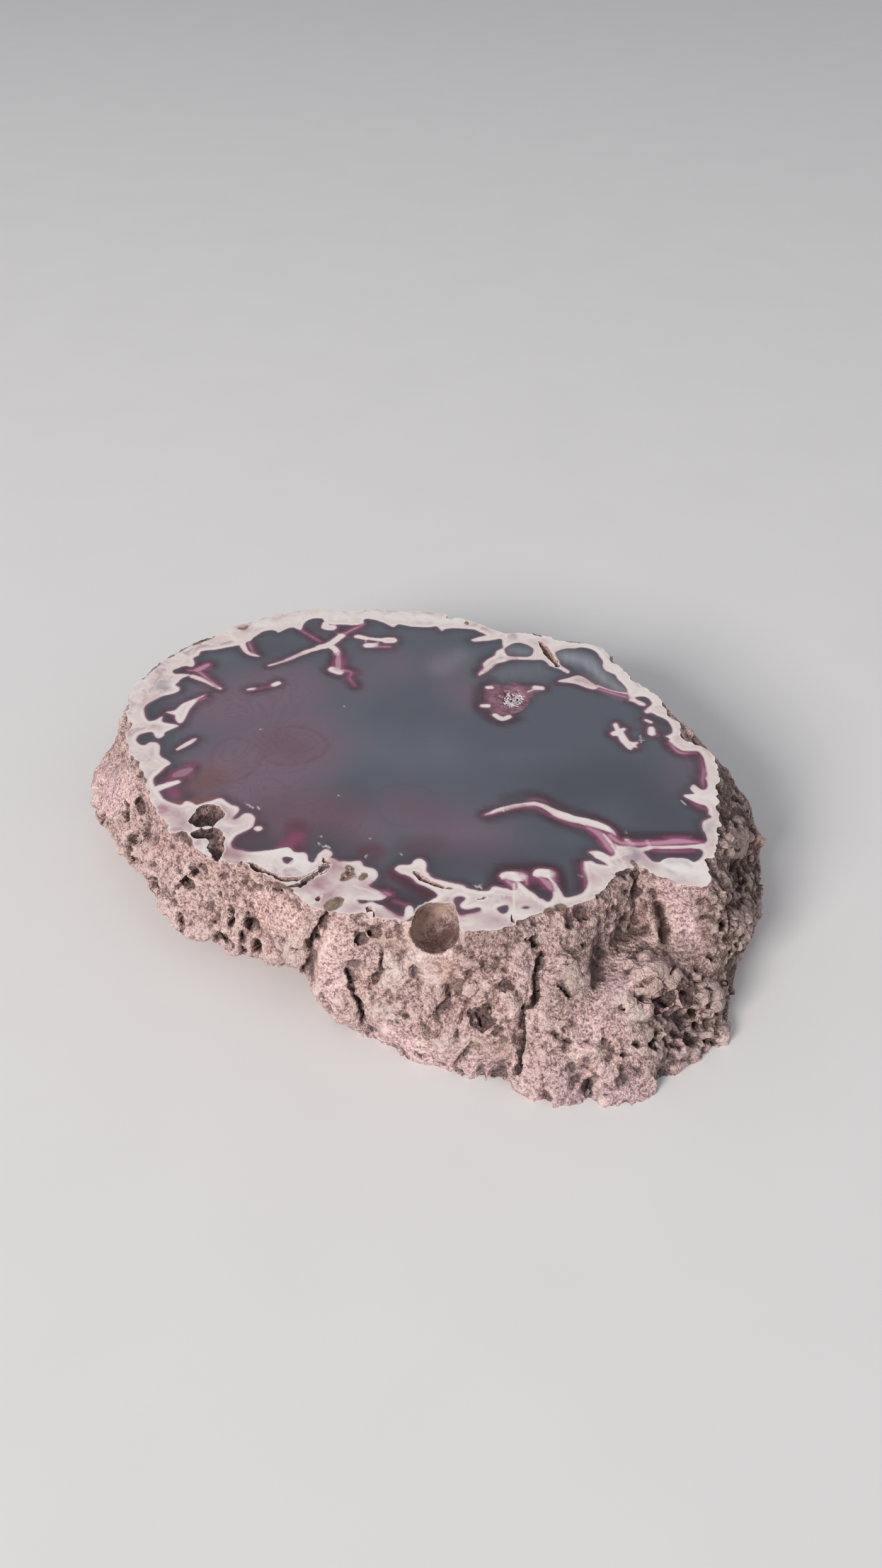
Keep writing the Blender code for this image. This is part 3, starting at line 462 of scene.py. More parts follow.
def smoothed(points, closed, steps=3):
    # A round-cornered curve through the traced points
    points = np.asarray(points, float)
    if closed:
        before, after, beyond = (np.roll(points, shift, 0) for shift in (1, -1, -2))
    else:
        if len(points) < 3:
            return points
        padded = np.vstack([points[:1], points, points[-1:]])
        before, after, beyond = padded[:-3], padded[2:-1], padded[3:]
        points = padded[1:-2]
    pieces = []
    for step in range(steps):
        t = step / steps
        pieces.append(0.5 * (2 * points + (after - before) * t
                             + (2 * before - 5 * points + 4 * after - beyond) * t * t
                             + (3 * points - before - 3 * after + beyond) * t ** 3))
    curve = np.stack(pieces, 1).reshape(-1, points.shape[1])
    return curve if closed else np.vstack([curve, after[-1:]])


def strokeDistance(places, way, radii):
    # How far inside a stroke of changing width each place is
    best = np.full(len(places), farOutside)
    for i in range(len(way) - 1):
        along = way[i + 1] - way[i]
        share = ((places - way[i]) @ along) / max(along @ along, tiny)
        share = np.clip(share, 0.0, 1.0)
        away = np.linalg.norm(places - way[i] - share[:, None] * along, axis=1)
        best = np.maximum(best, radii[i] + (radii[i + 1] - radii[i]) * share - away)
    return best


def insideEdges(places, starts, ends):
    # Even-odd test against a set of edges that close up
    result = np.empty(len(places), bool)
    rise = ends[:, 1] - starts[:, 1]
    rise = np.where(np.abs(rise) < tiny, tiny, rise)
    for first in range(0, len(places), batch):
        part = places[first:first + batch]
        spans = (starts[None, :, 1] > part[:, None, 1]) != (ends[None, :, 1] > part[:, None, 1])
        crossing = starts[:, 0] + (part[:, None, 1] - starts[:, 1]) / rise * (ends[:, 0] - starts[:, 0])
        result[first:first + batch] = (spans & (part[:, None, 0] < crossing)).sum(1) % 2 == 1
    return result


def outlineDistance(places, outline):
    # Signed distance to a closed outline, positive inside
    ends = np.roll(outline, -1, 0)
    along = ends - outline
    lengths = np.maximum((along ** 2).sum(1), tiny)
    away = np.empty(len(places))
    for first in range(0, len(places), batch):
        part = places[first:first + batch]
        offset = part[:, None, :] - outline[None, :, :]
        share = np.clip((offset * along).sum(2) / lengths, 0.0, 1.0)
        gap = ((offset - share[..., None] * along) ** 2).sum(2)
        away[first:first + batch] = np.sqrt(gap.min(1))
    return np.where(insideEdges(places, outline, ends), away, -away)


def closedOnFace(pixels):
    return smoothed(onFace(pixels), True)


def strokeOnFace(pixels, radii):
    # A smooth way on the face with its radii, given one radius or one at each pixel
    radii = np.broadcast_to(np.asarray(radii, float), len(pixels))
    joined = smoothed(np.hstack([onFace(pixels), radii[:, None]]), False, 4)
    return joined[:, :2], joined[:, 2]


def strokeInPhoto(pixels, radius):
    way = smoothed(pixels, False)
    return way, [radius] * len(way)


def softStep(values, low, high):
    t = np.clip((values - low) / (high - low), 0.0, 1.0)
    return t * t * (3 - 2 * t)


def deepest(places, strokes, least):
    # How far inside any of some strokes on the face each place is
    best = np.full(len(places), least)
    for radii, pixels in strokes:
        best = np.maximum(best, strokeDistance(places, *strokeOnFace(pixels, radii)))
    return best


def strongestPatch(places, spots, trace):
    # The strongest of some soft patches at each place: stains, and the painted reflection and shade shaped
    # the same way
    amount = np.zeros(len(places))
    for strength, radius, softness, pixels in spots:
        inside = strokeDistance(places, *trace(pixels, radius))
        amount = np.maximum(amount, strength * softStep(inside, -softness, softness))
    return amount


def ringOnFace(middle, halfSizes):
    # A slightly uneven oval
    turns = np.linspace(0.0, 2 * math.pi, 33)
    wobble = 1 + 0.06 * np.sin(3 * turns + middle[0])
    oval = np.stack([np.cos(turns) * halfSizes[0], np.sin(turns) * halfSizes[1]], 1)
    return onFace([middle])[0] + oval * wobble[:, None]


vug = {
    "middle": (26.18, 26.57),         # mm, on the face
    "halfSizes": (4.7, 6.6),
    "turn": math.radians(-14.0),
    # plum collar round it, in photo pixels
    "collar": [(774, 1096), (782, 1087), (800, 1088), (815, 1085), (830, 1088), (846, 1091),
               (853, 1096), (842, 1104), (834, 1113), (822, 1125), (812, 1131), (800, 1135),
               (788, 1134), (778, 1127), (774, 1117), (769, 1106)],
}


def vugDistance(places):
    # Roughly how far inside the crystal hollow's rim each place is
    away = places - np.array(vug["middle"])
    cosine, sine = math.cos(vug["turn"]), math.sin(vug["turn"])
    x = (away[:, 0] * cosine + away[:, 1] * sine) / vug["halfSizes"][0]
    y = (away[:, 1] * cosine - away[:, 0] * sine) / vug["halfSizes"][1]
    return (1.0 - np.hypot(x, y)) * sum(vug["halfSizes"]) / 2


def facePattern(places):
    # Every mask of the pattern at the given places on the face
    def insideAny(outlines):
        return np.max([outlineDistance(places, closedOnFace(outline)) for outline in outlines], axis=0)

    grey = insideAny([agateEdge, *agateWindows])
    white = np.maximum(insideAny(whiteIslands), deepest(places, whiteStrokes, farOutside))
    collar = insideAny([vug["collar"]])
    pink = np.full(len(places), justOutside)
    pinkAmount = np.zeros(len(places))
    for strength, radii, pixels in pinkStrokes:
        inside = strokeDistance(places, *strokeOnFace(pixels, radii))
        pink = np.maximum(pink, inside)
        pinkAmount = np.maximum(pinkAmount, strength * softStep(inside, *fades["pink"]))

    masks = {"cream": np.maximum(-grey, white), "pink": pinkAmount, "pinkDepth": pink}
    masks["halo"] = softStep(np.max([pink, collar, white], axis=0), *fades["halo"])
    masks["border"] = softStep(-grey, *fades["border"])
    for kind, spots in stainsAndSheen.items():
        masks[kind] = strongestPatch(places, spots, strokeOnFace)
    for middle, halfSizes, radius, strength in growthRings:
        way = ringOnFace(middle, halfSizes)
        inside = strokeDistance(places, way, [radius] * len(way))
        masks["wine"] = np.maximum(masks["wine"], ringShare * strength * softStep(inside, *fades["ring"]))
    masks["collar"] = softStep(collar, *fades["collar"])
    bright = softStep(deepest(places, veins, farOutside), *fades["vein"])
    specks = softStep(deepest(places, dust, farOutside), *fades["dust"])
    masks["vein"] = np.maximum(bright, dustShare * specks)
    masks["rind"] = deepest(places, rindSpots, justOutside)
    return masks


def patternLines():
    # Points along every traced line, for packing the face's mesh closely there
    lines = [closedOnFace(outline) for outline in [agateEdge, *agateWindows, *whiteIslands]]
    strokes = whiteStrokes + veins + rindSpots + [stroke[1:] for stroke in pinkStrokes] + dust
    lines += [strokeOnFace(pixels, radii)[0] for radii, pixels in strokes]
    # The last ring is too faint to need a close mesh
    lines += [ringOnFace(middle, halfSizes) for middle, halfSizes, radius, strength in growthRings[:-1]]
    points = []
    for line in lines:
        for start, end in zip(line, line[1:]):
            count = max(1, int(np.linalg.norm(end - start) / lineStep))
            points += [start + (end - start) * i / count for i in range(count)]
        points.append(line[-1])
    return points


# Working with Blender's own tools

def selectOnly(piece):
    if bpy.context.mode != "OBJECT":
        bpy.ops.object.mode_set(mode="OBJECT")
    bpy.ops.object.select_all(action="DESELECT")
    piece.select_set(True)
    bpy.context.view_layer.objects.active = piece


def applyModifier(piece, kind, **settings):
    selectOnly(piece)
    modifier = piece.modifiers.new(kind.title(), kind)
    for name, value in settings.items():
        setattr(modifier, name, value)
    bpy.ops.object.modifier_apply(modifier=modifier.name)


def selectFaces(piece, wanted):
    # Leaves edit mode open, with just the wanted faces selected
    selectOnly(piece)
    bpy.ops.object.mode_set(mode="EDIT")
    bpy.ops.mesh.select_mode(type="FACE")
    bpy.ops.mesh.select_all(action="DESELECT")
    shape = bmesh.from_edit_mesh(piece.data)
    for face in shape.faces:
        face.select = wanted(face)
    shape.select_flush_mode()
    bmesh.update_edit_mesh(piece.data)


def vertexPlaces(piece):
    places = np.empty(len(piece.data.vertices) * 3)
    piece.data.vertices.foreach_get("co", places)
    return places.reshape(-1, 3)


def vertexNormals(piece):
    normals = np.empty(len(piece.data.vertices) * 3)
    piece.data.vertex_normals.foreach_get("vector", normals)
    return normals.reshape(-1, 3)


def setPlaces(piece, places):
    piece.data.vertices.foreach_set("co", places.reshape(-1))
    piece.data.update()


def storeMask(piece, name, values):
    layer = piece.data.attributes.new(name, "FLOAT", "POINT")
    layer.data.foreach_set("value", np.asarray(values, np.float32))


def searchTree(points, numbers=None):
    # Finds near points; each goes by its place in the list or by a number of its own
    tree = KDTree(len(points))
    for i, point in enumerate(points):
        tree.insert(point, i if numbers is None else numbers[i])
    tree.balance()
    return tree


# The stone's body: the CAD solid, remeshed finely and broken up like rhyolite

stoneBody = {
    "sawAllowance": 3.0 * mm,        # the flats are grown by this, then sawn back
    "voxel": 0.68 * mm,
    "smoothing": 2,
    "rimQuiet": 2.2 * mm,            # the lumps fade out over this much below the face
    "rimCalm": 0.45,                 # how calm the wall is at the rim, 1 being untouched
    "panelCalm": 0.92,               # and in its smooth panels
    "holeMiddle": (4.8, -55.8),      # mm; the wall of the large round hole keeps its CAD shape
    "holeFade": (-8.6, -7.0),        # minus the mm from that middle where this starts and is full
    "holeBottom": 20.0 * mm,         # and only above this height
    "vugFade": (-2.0, -0.5),         # mm inside the rim of the crystal hollow
    "vugBottom": 24.0 * mm,
    "calmBeyond": 2.5 * mm,          # what is sawn off later is left alone this far out
    "lumps": ((12.0, 2.4), (3.4, 0.7)),
    # chipped facets: size, tilt, groove depth in mm
    "chips": ((8.5, 0.07, 0.30), (3.8, 0.08, 0.20), (1.9, 0.10, 0.10)),
    "chipLean": 2.2,
    "chipStep": 0.9,                 # how far whole facets stand out or in, against their tilt
    "grooveSharpness": 5.0,          # the grooves are a facet's size wide, divided by this
    "twist": (2.6, 0.30),            # size and reach in mm of the sideways crumple
    "bites": ((1.9, 0.9), (4.6, 1.5), (8.0, 1.6)),      # size in mm and strength, small to wide
    "bite": 1.1 * mm,
    "footBite": 1.5,                 # the foot is bitten this many times deeper than the rim
    "slitWave": (1.6, 0.55),         # size and reach in mm of the slits' ragged sides
    "boxGap": 0.02 * mm,             # the roughened wall stays this far inside the CAD box
    "leastPatch": 12,                # smaller scraps of mesh are dropped
    "faceNet": (0.46, 0.6),          # mm between the points near the pattern's lines, and how near
    "undersideNet": (1.1, 0.7),
    "noiseSeed": 4,                  # without one, the crumple would change with the clock
}

# Smooth stretches of the wall, as photo pixels of the side that faces the camera
smoothPanels = [
    [(1016, 1374), (1046, 1397), (1081, 1424), (1098, 1450), (1110, 1480), (1113, 1506), (1092, 1520),
     (1066, 1508), (1064, 1471), (1048, 1427), (1030, 1396)],
    [(992, 1530), (1010, 1545), (990, 1590), (950, 1650), (915, 1690), (900, 1670), (935, 1600), (968, 1548)],
    [(405, 1410), (470, 1440), (478, 1470), (455, 1490), (420, 1470), (400, 1440)],
    [(510, 1470), (550, 1480), (555, 1540), (530, 1590), (500, 1560), (495, 1510)],
    [(150, 1200), (200, 1215), (215, 1260), (190, 1290), (160, 1290), (148, 1240)],
    [(600, 1625), (650, 1640), (690, 1665), (680, 1695), (630, 1665), (596, 1645)],
]

wallRaggedness = 4.0                 # pixels that cracks and pits stray from their traced lines

# Cracks and ledges on the near wall: half width in pixels, depth in mm, then the pixels
wallCracks = [
    (3.0, 2.4, [(552, 1538), (558, 1562), (567, 1584), (572, 1600), (578, 1622)]),
    (3.0, 2.2, [(565, 1482), (568, 1498)]), (4.0, 2.6, [(587, 1442), (589, 1450)]),
    (3.0, 1.6, [(606, 1512), (604, 1534), (598, 1546)]),
    (3.4, 1.0, [(712, 1566), (710, 1588), (694, 1602)]), (4.2, 2.4, [(745, 1608), (752, 1610)]),
    (2.6, 1.8, [(756, 1602), (764, 1618), (765, 1635)]),
    (2.2, 1.2, [(795, 1562), (804, 1554), (813, 1553)]),
    (3.6, 2.6, [(858, 1514), (851, 1545), (849, 1580), (847, 1598)]),
    (3.2, 2.6, [(836, 1596), (827, 1615), (830, 1645), (824, 1674), (820, 1702)]),
    (2.4, 2.2, [(837, 1491), (846, 1496), (852, 1502)]),
    (3.0, 1.8, [(652, 1668), (662, 1674), (671, 1678)]), (3.0, 1.5, [(1040, 1434), (1047, 1452)]),
    (8.0, 2.2, [(1050, 1462), (1055, 1488)]), (3.0, 2.0, [(1008, 1485), (1007, 1510)]),
    (2.0, 2.2, [(1120, 1516), (1133, 1524)]), (4.0, 3.2, [(1016, 1586), (1030, 1582), (1046, 1574)]),
    (3.0, 2.4, [(1050, 1590), (1058, 1600)]), (3.0, 2.0, [(885, 1560), (899, 1574), (905, 1582)]),
    (2.6, 2.6, [(201, 1276), (202, 1298)]), (2.6, 2.0, [(281, 1408), (296, 1398), (313, 1380)]),
    (2.4, 1.6, [(305, 1378), (314, 1384)]), (3.4, 2.4, [(366, 1443), (366, 1470)]),
    (3.0, 2.2, [(344, 1481), (360, 1490)]), (3.0, 2.2, [(387, 1478), (385, 1500), (388, 1516)]),
    (6.0, 3.0, [(406, 1496), (408, 1526)]), (6.0, 2.4, [(206, 1366), (210, 1386)]),
    (6.0, 2.2, [(240, 1398), (248, 1420)]), (5.0, 2.6, [(282, 1452), (288, 1476)]),
    (5.0, 2.2, [(343, 1486), (347, 1508)]), (4.0, 1.8, [(160, 1290), (166, 1312)]),
    (4.0, 2.0, [(486, 1524), (480, 1545)]), (3.0, 2.4, [(517, 1450), (503, 1472), (491, 1500)]),
    (2.2, 1.6, [(395, 1448), (398, 1470)]), (2.0, 1.4, [(1154, 1440), (1160, 1470), (1150, 1500)]),
    (2.0, 1.6, [(1172, 1380), (1176, 1410)]), (4.0, 2.2, [(934, 1716), (934, 1736)]),
    (2.0, 1.4, [(735, 1600), (728, 1625), (726, 1650)]),
    (2.0, 1.2, [(720, 1690), (735, 1672), (750, 1655)]),
    (1.8, 1.0, [(880, 1640), (905, 1655), (940, 1650)]),
]

# Single pits on the near wall: place in pixels, radius in pixels, depth in mm
wallPits = [
    (586, 1481, 6, 2.4), (624, 1581, 4, 0.8), (634, 1580, 3, 1.0), (643, 1614, 7, 1.0), (584, 1565, 7, 1.8),
    (790, 1590, 3, 1.2), (806, 1517, 4, 1.4), (748, 1534, 5, 1.3), (739, 1509, 4, 1.2), (887, 1515, 4, 1.4),
    (990, 1604, 5, 2.6), (1084, 1574, 6, 3.0), (1052, 1592, 6, 2.6), (1099, 1606, 7, 3.2),
    (1108, 1628, 7, 3.0), (1122, 1650, 6, 2.6), (1137, 1606, 5, 2.4), (1046, 1640, 9, 2.2),
    (1043, 1662, 8, 2.2), (1093, 1642, 7, 2.6), (958, 1651, 4, 1.6), (990, 1674, 5, 1.8),
    (1010, 1656, 5, 1.8), (1146, 1467, 5, 2.0), (1163, 1348, 4, 1.6), (1158, 1420, 4, 1.6),
    (1046, 1504, 4, 1.6), (1060, 1548, 5, 2.0), (222, 1230, 6, 1.2), (283, 1384, 4, 1.8),
    (452, 1449, 3, 1.2), (503, 1488, 4, 1.4), (330, 1440, 3, 1.3), (350, 1418, 3, 1.3), (372, 1425, 4, 1.4),
    (340, 1462, 3, 1.4), (376, 1455, 4, 1.6), (392, 1432, 4, 1.4), (530, 1487, 3, 1.1), (617, 1485, 4, 1.4),
    (700, 1540, 4, 1.2), (660, 1540, 4, 1.1), (770, 1500, 4, 1.2), (905, 1530, 5, 1.4), (925, 1500, 4, 1.4),
    (960, 1470, 4, 1.3), (975, 1440, 4, 1.2), (1180, 1400, 5, 1.6), (1170, 1500, 5, 1.8),
    (1150, 1560, 5, 2.0),
]

# Lumps that stand out of the near wall: middle and half sizes in pixels, height in mm
wallLumps = [
    ((1036, 1552), (46, 24), 2.0), ((1012, 1602), (22, 18), 1.4), ((1122, 1584), (26, 30), 1.5),
    ((633, 1547), (20, 16), 0.9), ((688, 1580), (20, 26), 0.6), ((470, 1512), (20, 20), 1.5),
    ((1140, 1640), (20, 14), 0.7), ((905, 1545), (26, 30), 0.8), ((760, 1568), (26, 22), 0.8),
    ((618, 1520), (16, 14), 0.7), ((962, 1742), (14, 12), 1.2), ((800, 1600), (22, 30), 0.8),
    ((1168, 1330), (18, 34), 1.2), ((1180, 1460), (14, 34), 1.2), ((236, 1352), (18, 16), 1.2),
    ((320, 1474), (18, 16), 1.2), ((262, 1436), (12, 16), 1.4), ((540, 1600), (14, 24), 0.8),
    ((186, 1348), (14, 12), 1.4), ((222, 1376), (12, 12), 1.2), ((374, 1500), (16, 12), 1.4),
    ((436, 1520), (16, 12), 1.2), ((150, 1262), (12, 18), 1.0),
]

# Spongy ground: pixels of its middle, half sizes in pixels, number of pits, radii and depths in mm
spongeZones = [
    ((1095, 1615), (68, 72), 70, (0.6, 1.3), 1.0),
    ((365, 1450), (38, 48), 26, (0.3, 0.6), 1.0),
    ((1165, 1420), (40, 110), 50, (0.5, 1.0), 0.9),
    ((960, 1440), (70, 45), 24, (0.4, 0.8), 0.9),
]
# Craggier ground: pixels of its middle, half sizes in pixels, how many times rougher
ruggedZones = [
    ((1095, 1610), (75, 80), 2.0), ((1165, 1400), (45, 130), 2.0), ((360, 1440), (50, 60), 1.25),
    ((975, 1420), (60, 40), 1.5), ((730, 1540), (60, 50), 1.4), ((1010, 1560), (40, 45), 1.8),
]
scatteredPores = {"count": 170, "radii": (0.35, 0.75), "depthShare": 0.9, "seed": 7}

# Cracks on the sides that the photo doesn't show: half width and depth in mm, way as (bearing, height)
hiddenCracks = [
    (0.8, 2.0, [(28, 33), (31, 24), (27, 15)]), (0.7, 1.8, [(48, 20), (52, 10), (49, 1)]),
    (0.8, 2.2, [(82, 34), (80, 26), (84, 18)]), (0.7, 1.6, [(111, 30), (116, 22), (114, 15)]),
    (0.9, 2.2, [(132, 24), (135, 12), (131, 2)]), (0.7, 1.8, [(160, 32), (163, 22)]),
    (0.8, 2.0, [(-170, 20), (-168, 10), (-171, 2)]), (0.7, 1.7, [(-6, 28), (-2, 18), (-5, 9)]),
    (0.8, 2.0, [(12, 14), (16, 6)]), (0.7, 1.6, [(70, 12), (92, 15)]), (0.7, 1.4, [(140, 29), (150, 27)]),
]

# Narrow openings in the polished face: depth in mm, radii in mm, then the pixels
faceSlits = [
    (3.2, [0.5, 1.0, 1.2, 1.5, 1.6, 1.2],
     [(385, 1369), (398, 1374), (412, 1383), (428, 1393), (442, 1399), (458, 1398)]),
    (2.6, [1.2, 0.9, 1.0, 1.0, 0.6], [(458, 1398), (478, 1395), (496, 1390), (511, 1380), (520, 1370)]),
    (2.2, [0.5, 0.8, 0.7, 0.6, 0.3], [(657, 1384), (664, 1390), (682, 1400), (698, 1406), (716, 1410)]),
    (4.0, [0.5, 0.9, 1.0, 0.5], [(857, 1018), (864, 1028), (874, 1042), (885, 1056)]),
    (1.0, [0.35, 0.45, 0.3], [(758, 1426), (766, 1425), (776, 1421)]),
    (1.6, [0.3, 0.35, 0.25], [(813, 1450), (812, 1457), (814, 1463)]),
    (1.8, [0.5, 0.7], [(503, 1427), (508, 1422)]),
    (1.6, [0.5, 0.6, 0.4], [(522, 1375), (516, 1368), (511, 1361)]),
    (1.4, [0.4, 0.5, 0.4], [(544, 1394), (550, 1389), (556, 1384)]),
    (1.2, [0.35, 0.35], [(576, 1394), (580, 1390)]),
    (0.9, [0.3, 0.3], [(551, 1376), (555, 1378)]),
    (2.4, [0.9, 1.0], [(585, 1443), (590, 1450)]),
]

# Cuts in the face's near edge: outline in photo pixels, depth below the face and lean outwards in mm
edgeCuts = [
    ([(950, 1417), (964, 1407), (976, 1396), (990, 1381), (1007, 1364), (1022, 1374), (1040, 1392),
      (1062, 1412), (1075, 1480), (935, 1480)], 14.0, 8.0),
    ([(653, 1474), (660, 1462), (672, 1452), (690, 1440), (704, 1431), (719, 1422), (722, 1434), (727, 1450),
      (731, 1474)], 4.5, 2.5),
]


def cutEdge(stone):
    # Cuts the two notches out of the near edge with slanting blocks
    for outline, depth, lean in edgeCuts:
        corners = onFace(outline)
        shape = bmesh.new()
        rings = []
        for height, shift in ((4.0, 0.0), (-depth, -lean)):
            ring = [(x * mm, (y + shift) * mm, faceHeight + height * mm) for x, y in corners]
            rings.append([shape.verts.new(place) for place in ring])
        upper, lower = rings
        shape.faces.new(upper)
        shape.faces.new(list(reversed(lower)))
        for i in range(len(corners)):
            j = (i + 1) % len(corners)
            shape.faces.new((upper[j], upper[i], lower[i], lower[j]))
        bmesh.ops.recalc_face_normals(shape, faces=shape.faces[:])
        cutter = bpy.data.objects.new("cut", bpy.data.meshes.new("cut"))
        shape.to_mesh(cutter.data)
        shape.free()
        bpy.context.scene.collection.objects.link(cutter)
        applyModifier(stone, "BOOLEAN", operation="DIFFERENCE", object=cutter, solver="EXACT")
        bpy.data.objects.remove(cutter)


def growFlats(stone):
    # Extrudes the polished face up and the underside down, to be sawn off later
    for height, side in ((faceHeight, 1), (0.0, -1)):
        def onFlat(face):
            return face.normal.z * side > 0.99 and abs(face.calc_center_median().z - height) < 0.01 * mm
        selectFaces(stone, onFlat)
        grow = {"value": (0, 0, side * stoneBody["sawAllowance"])}
        bpy.ops.mesh.extrude_region_move(TRANSFORM_OT_translate=grow)
    bpy.ops.object.mode_set(mode="OBJECT")


def roughen(stone, calm):
    # Clouds of two sizes push the wall in and out along its normals
    selectOnly(stone)
    group = stone.vertex_groups.new(name="rough")
    grades = 12
    levels = np.round((1.0 - calm) * grades).astype(int)
    for level in range(1, grades + 1):
        chosen = np.nonzero(levels == level)[0].tolist()
        group.add(chosen, level / grades, "REPLACE")
    for size, strength in stoneBody["lumps"]:
        texture = bpy.data.textures.new("rindLumps", "CLOUDS")
        texture.noise_scale = size * mm
        texture.noise_depth = 2
        applyModifier(stone, "DISPLACE", texture=texture, texture_coords="LOCAL", vertex_group="rough",
                      strength=strength * mm, mid_level=0.5)
        bpy.data.textures.remove(texture)
    stone.vertex_groups.clear()


def nibbleRim(stone, quiet):
    # Small bites all round, where the saw left its edges ragged
    places = vertexPlaces(stone)
    normals = vertexNormals(stone)
    rim = softStep(places[:, 2], faceHeight - 6 * mm, faceHeight - 0.5 * mm)
    foot = softStep(places[:, 2], 9 * mm, 1 * mm)
    steep = softStep(np.abs(normals[:, 2]), 0.95, 0.6) * (1 - quiet)
    squash = 0.35                    # bites are taller than they are wide
    for i in np.nonzero(np.maximum(rim, foot) * steep > 0.02)[0]:
        spot = Vector(places[i] / mm)
        spot.z *= squash
        small, large, wide = [abs(noise.noise(spot / size)) * strength
                              for size, strength in stoneBody["bites"]]
        atRim = rim[i] * (small + large - 0.45)
        atFoot = foot[i] * stoneBody["footBite"] * (large + wide + small * 0.3 - 0.7)
        places[i] -= normals[i] * steep[i] * max(atRim, atFoot) * stoneBody["bite"]
    setPlaces(stone, places)


def chip(stone, calm):
    # Breaks the wall into small tilted facets with grooves between, and crumples it sideways
    places = vertexPlaces(stone)
    normals = vertexNormals(stone)
    moves = np.zeros((len(places), 3))
    facing, pixels = nearPhoto(places, normals)
    rugged = np.ones(len(places))
    for middle, halfSizes, factor in ruggedZones:
        share = softStep(1.3 - ovalReach(pixels, middle, halfSizes), 0, 0.5)
        rugged += np.where(facing, (factor - 1) * share, 0)
    size, reach = stoneBody["twist"]
    for i in np.nonzero(calm < 0.97)[0]:
        spot = Vector(places[i] / mm)
        warp = noise.noise_vector(spot / size)
        out = 0.0
        for scale, tilt, groove in stoneBody["chips"]:
            bent = (spot + warp * scale * 0.3) / scale
            nearest, centres = noise.voronoi(bent)
            # Any steady numbers of a facet's own will do for its lean and step
            lean = noise.noise_vector(centres[0] * 7.3)
            out += lean.dot(bent - centres[0]) * tilt * scale * stoneBody["chipLean"]
            gap = (nearest[1] - nearest[0]) * stoneBody["grooveSharpness"]
            out -= groove * max(0.0, 1.0 - gap)
            out += noise.noise(centres[0] * 3.1) * tilt * scale * stoneBody["chipStep"]
        moves[i] = (warp * reach * 0.6 + Vector(normals[i]) * out) * rugged[i]
    setPlaces(stone, places + moves * ((1.0 - calm) * mm)[:, None])


def cavities(stone):
    # How hollow or proud each vertex sits among its neighbours, from -1 to 1
    places = vertexPlaces(stone)
    edges = np.empty(len(stone.data.edges) * 2, int)
    stone.data.edges.foreach_get("vertices", edges)
    edges = edges.reshape(-1, 2)
    counts = np.bincount(edges.ravel(), minlength=len(places))[:, None]

    def spread(values):
        total = np.zeros_like(values)
        for axis in range(values.shape[1]):
            total[:, axis] += np.bincount(edges[:, 0], values[edges[:, 1], axis], len(places))
            total[:, axis] += np.bincount(edges[:, 1], values[edges[:, 0], axis], len(places))
        return total / np.maximum(counts, 1)

    even = places
    for turn in range(6):
        even = spread(even)
    fullDepth = 0.45 * mm
    hollow = ((even - places) * vertexNormals(stone)).sum(1) / fullDepth
    return np.clip(spread(hollow[:, None])[:, 0] * 1.6, -1, 1)


def nearPhoto(places, normals):
    # Which vertices face the camera, and their photo pixels
    toCamera = np.array(photo["place"]) - places
    toCamera /= np.linalg.norm(toCamera, axis=1)[:, None]
    facing = (normals * toCamera).sum(1) > 0.05
    return facing, inPhoto(places)


def ovalReach(pixels, middle, halfSizes):
    # 0 in the middle of an oval in the photo, 1 on its edge
    return np.hypot(*((pixels - np.array(middle)) / np.array(halfSizes)).T)


def nearDepth(pixels):
    # Depth in mm of the traced cracks and pits at photo pixels
    depth = np.zeros(len(pixels))
    for halfWidth, deep, way in wallCracks:
        inside = strokeDistance(pixels, *strokeInPhoto(way, halfWidth))
        depth = np.maximum(depth, deep * softStep(inside, -halfWidth * 0.45, halfWidth))
    for x, y, radius, deep in wallPits:
        away = np.hypot(pixels[:, 0] - x, (pixels[:, 1] - y) * 1.15)
        depth = np.maximum(depth, deep * softStep(radius * 1.15 - away, 0, radius))
    return depth


def hiddenDepth(places, ragged):
    # Depth in mm of the cracks that the photo doesn't show
    bearings = np.degrees(np.arctan2(places[:, 1], places[:, 0]))
    radii = np.hypot(places[:, 0], places[:, 1]) / mm
    meanRadius = 80
    depth = np.zeros(len(places))
    for halfWidth, deep, way in hiddenCracks:
        way = smoothed(way, False)
        turned = (bearings - way[0, 0] + 180) % 360 - 180
        near = np.abs(turned) < 40
        around = np.radians(turned[near]) * radii[near]
        flat = np.stack([around, places[near, 2] / mm], 1) + ragged[near, :2] * 1.3
        onFlat = np.stack([np.radians(way[:, 0] - way[0, 0]) * meanRadius, way[:, 1]], 1)
        inside = strokeDistance(flat, onFlat, [halfWidth] * len(way))
        depth[near] = np.maximum(depth[near], deep * softStep(inside, -0.4, halfWidth))
    return depth


def drawPores(zones, wallOnes):
    # Start, radius and depth in mm of each pore
    draw = random.Random(scatteredPores["seed"])
    pores = []
    for i in range(scatteredPores["count"]):
        radius = draw.uniform(*scatteredPores["radii"]) * draw.uniform(0.75, 1.0)
        pores.append((draw.choice(wallOnes), radius, radius * scatteredPores["depthShare"]))
    for zone, (middle, halfSizes, count, sizes, share) in zip(zones, spongeZones):
        for i in range(count):
            radius = draw.uniform(*sizes)
            pores.append((draw.choice(zone), radius, radius * share))
    return pores


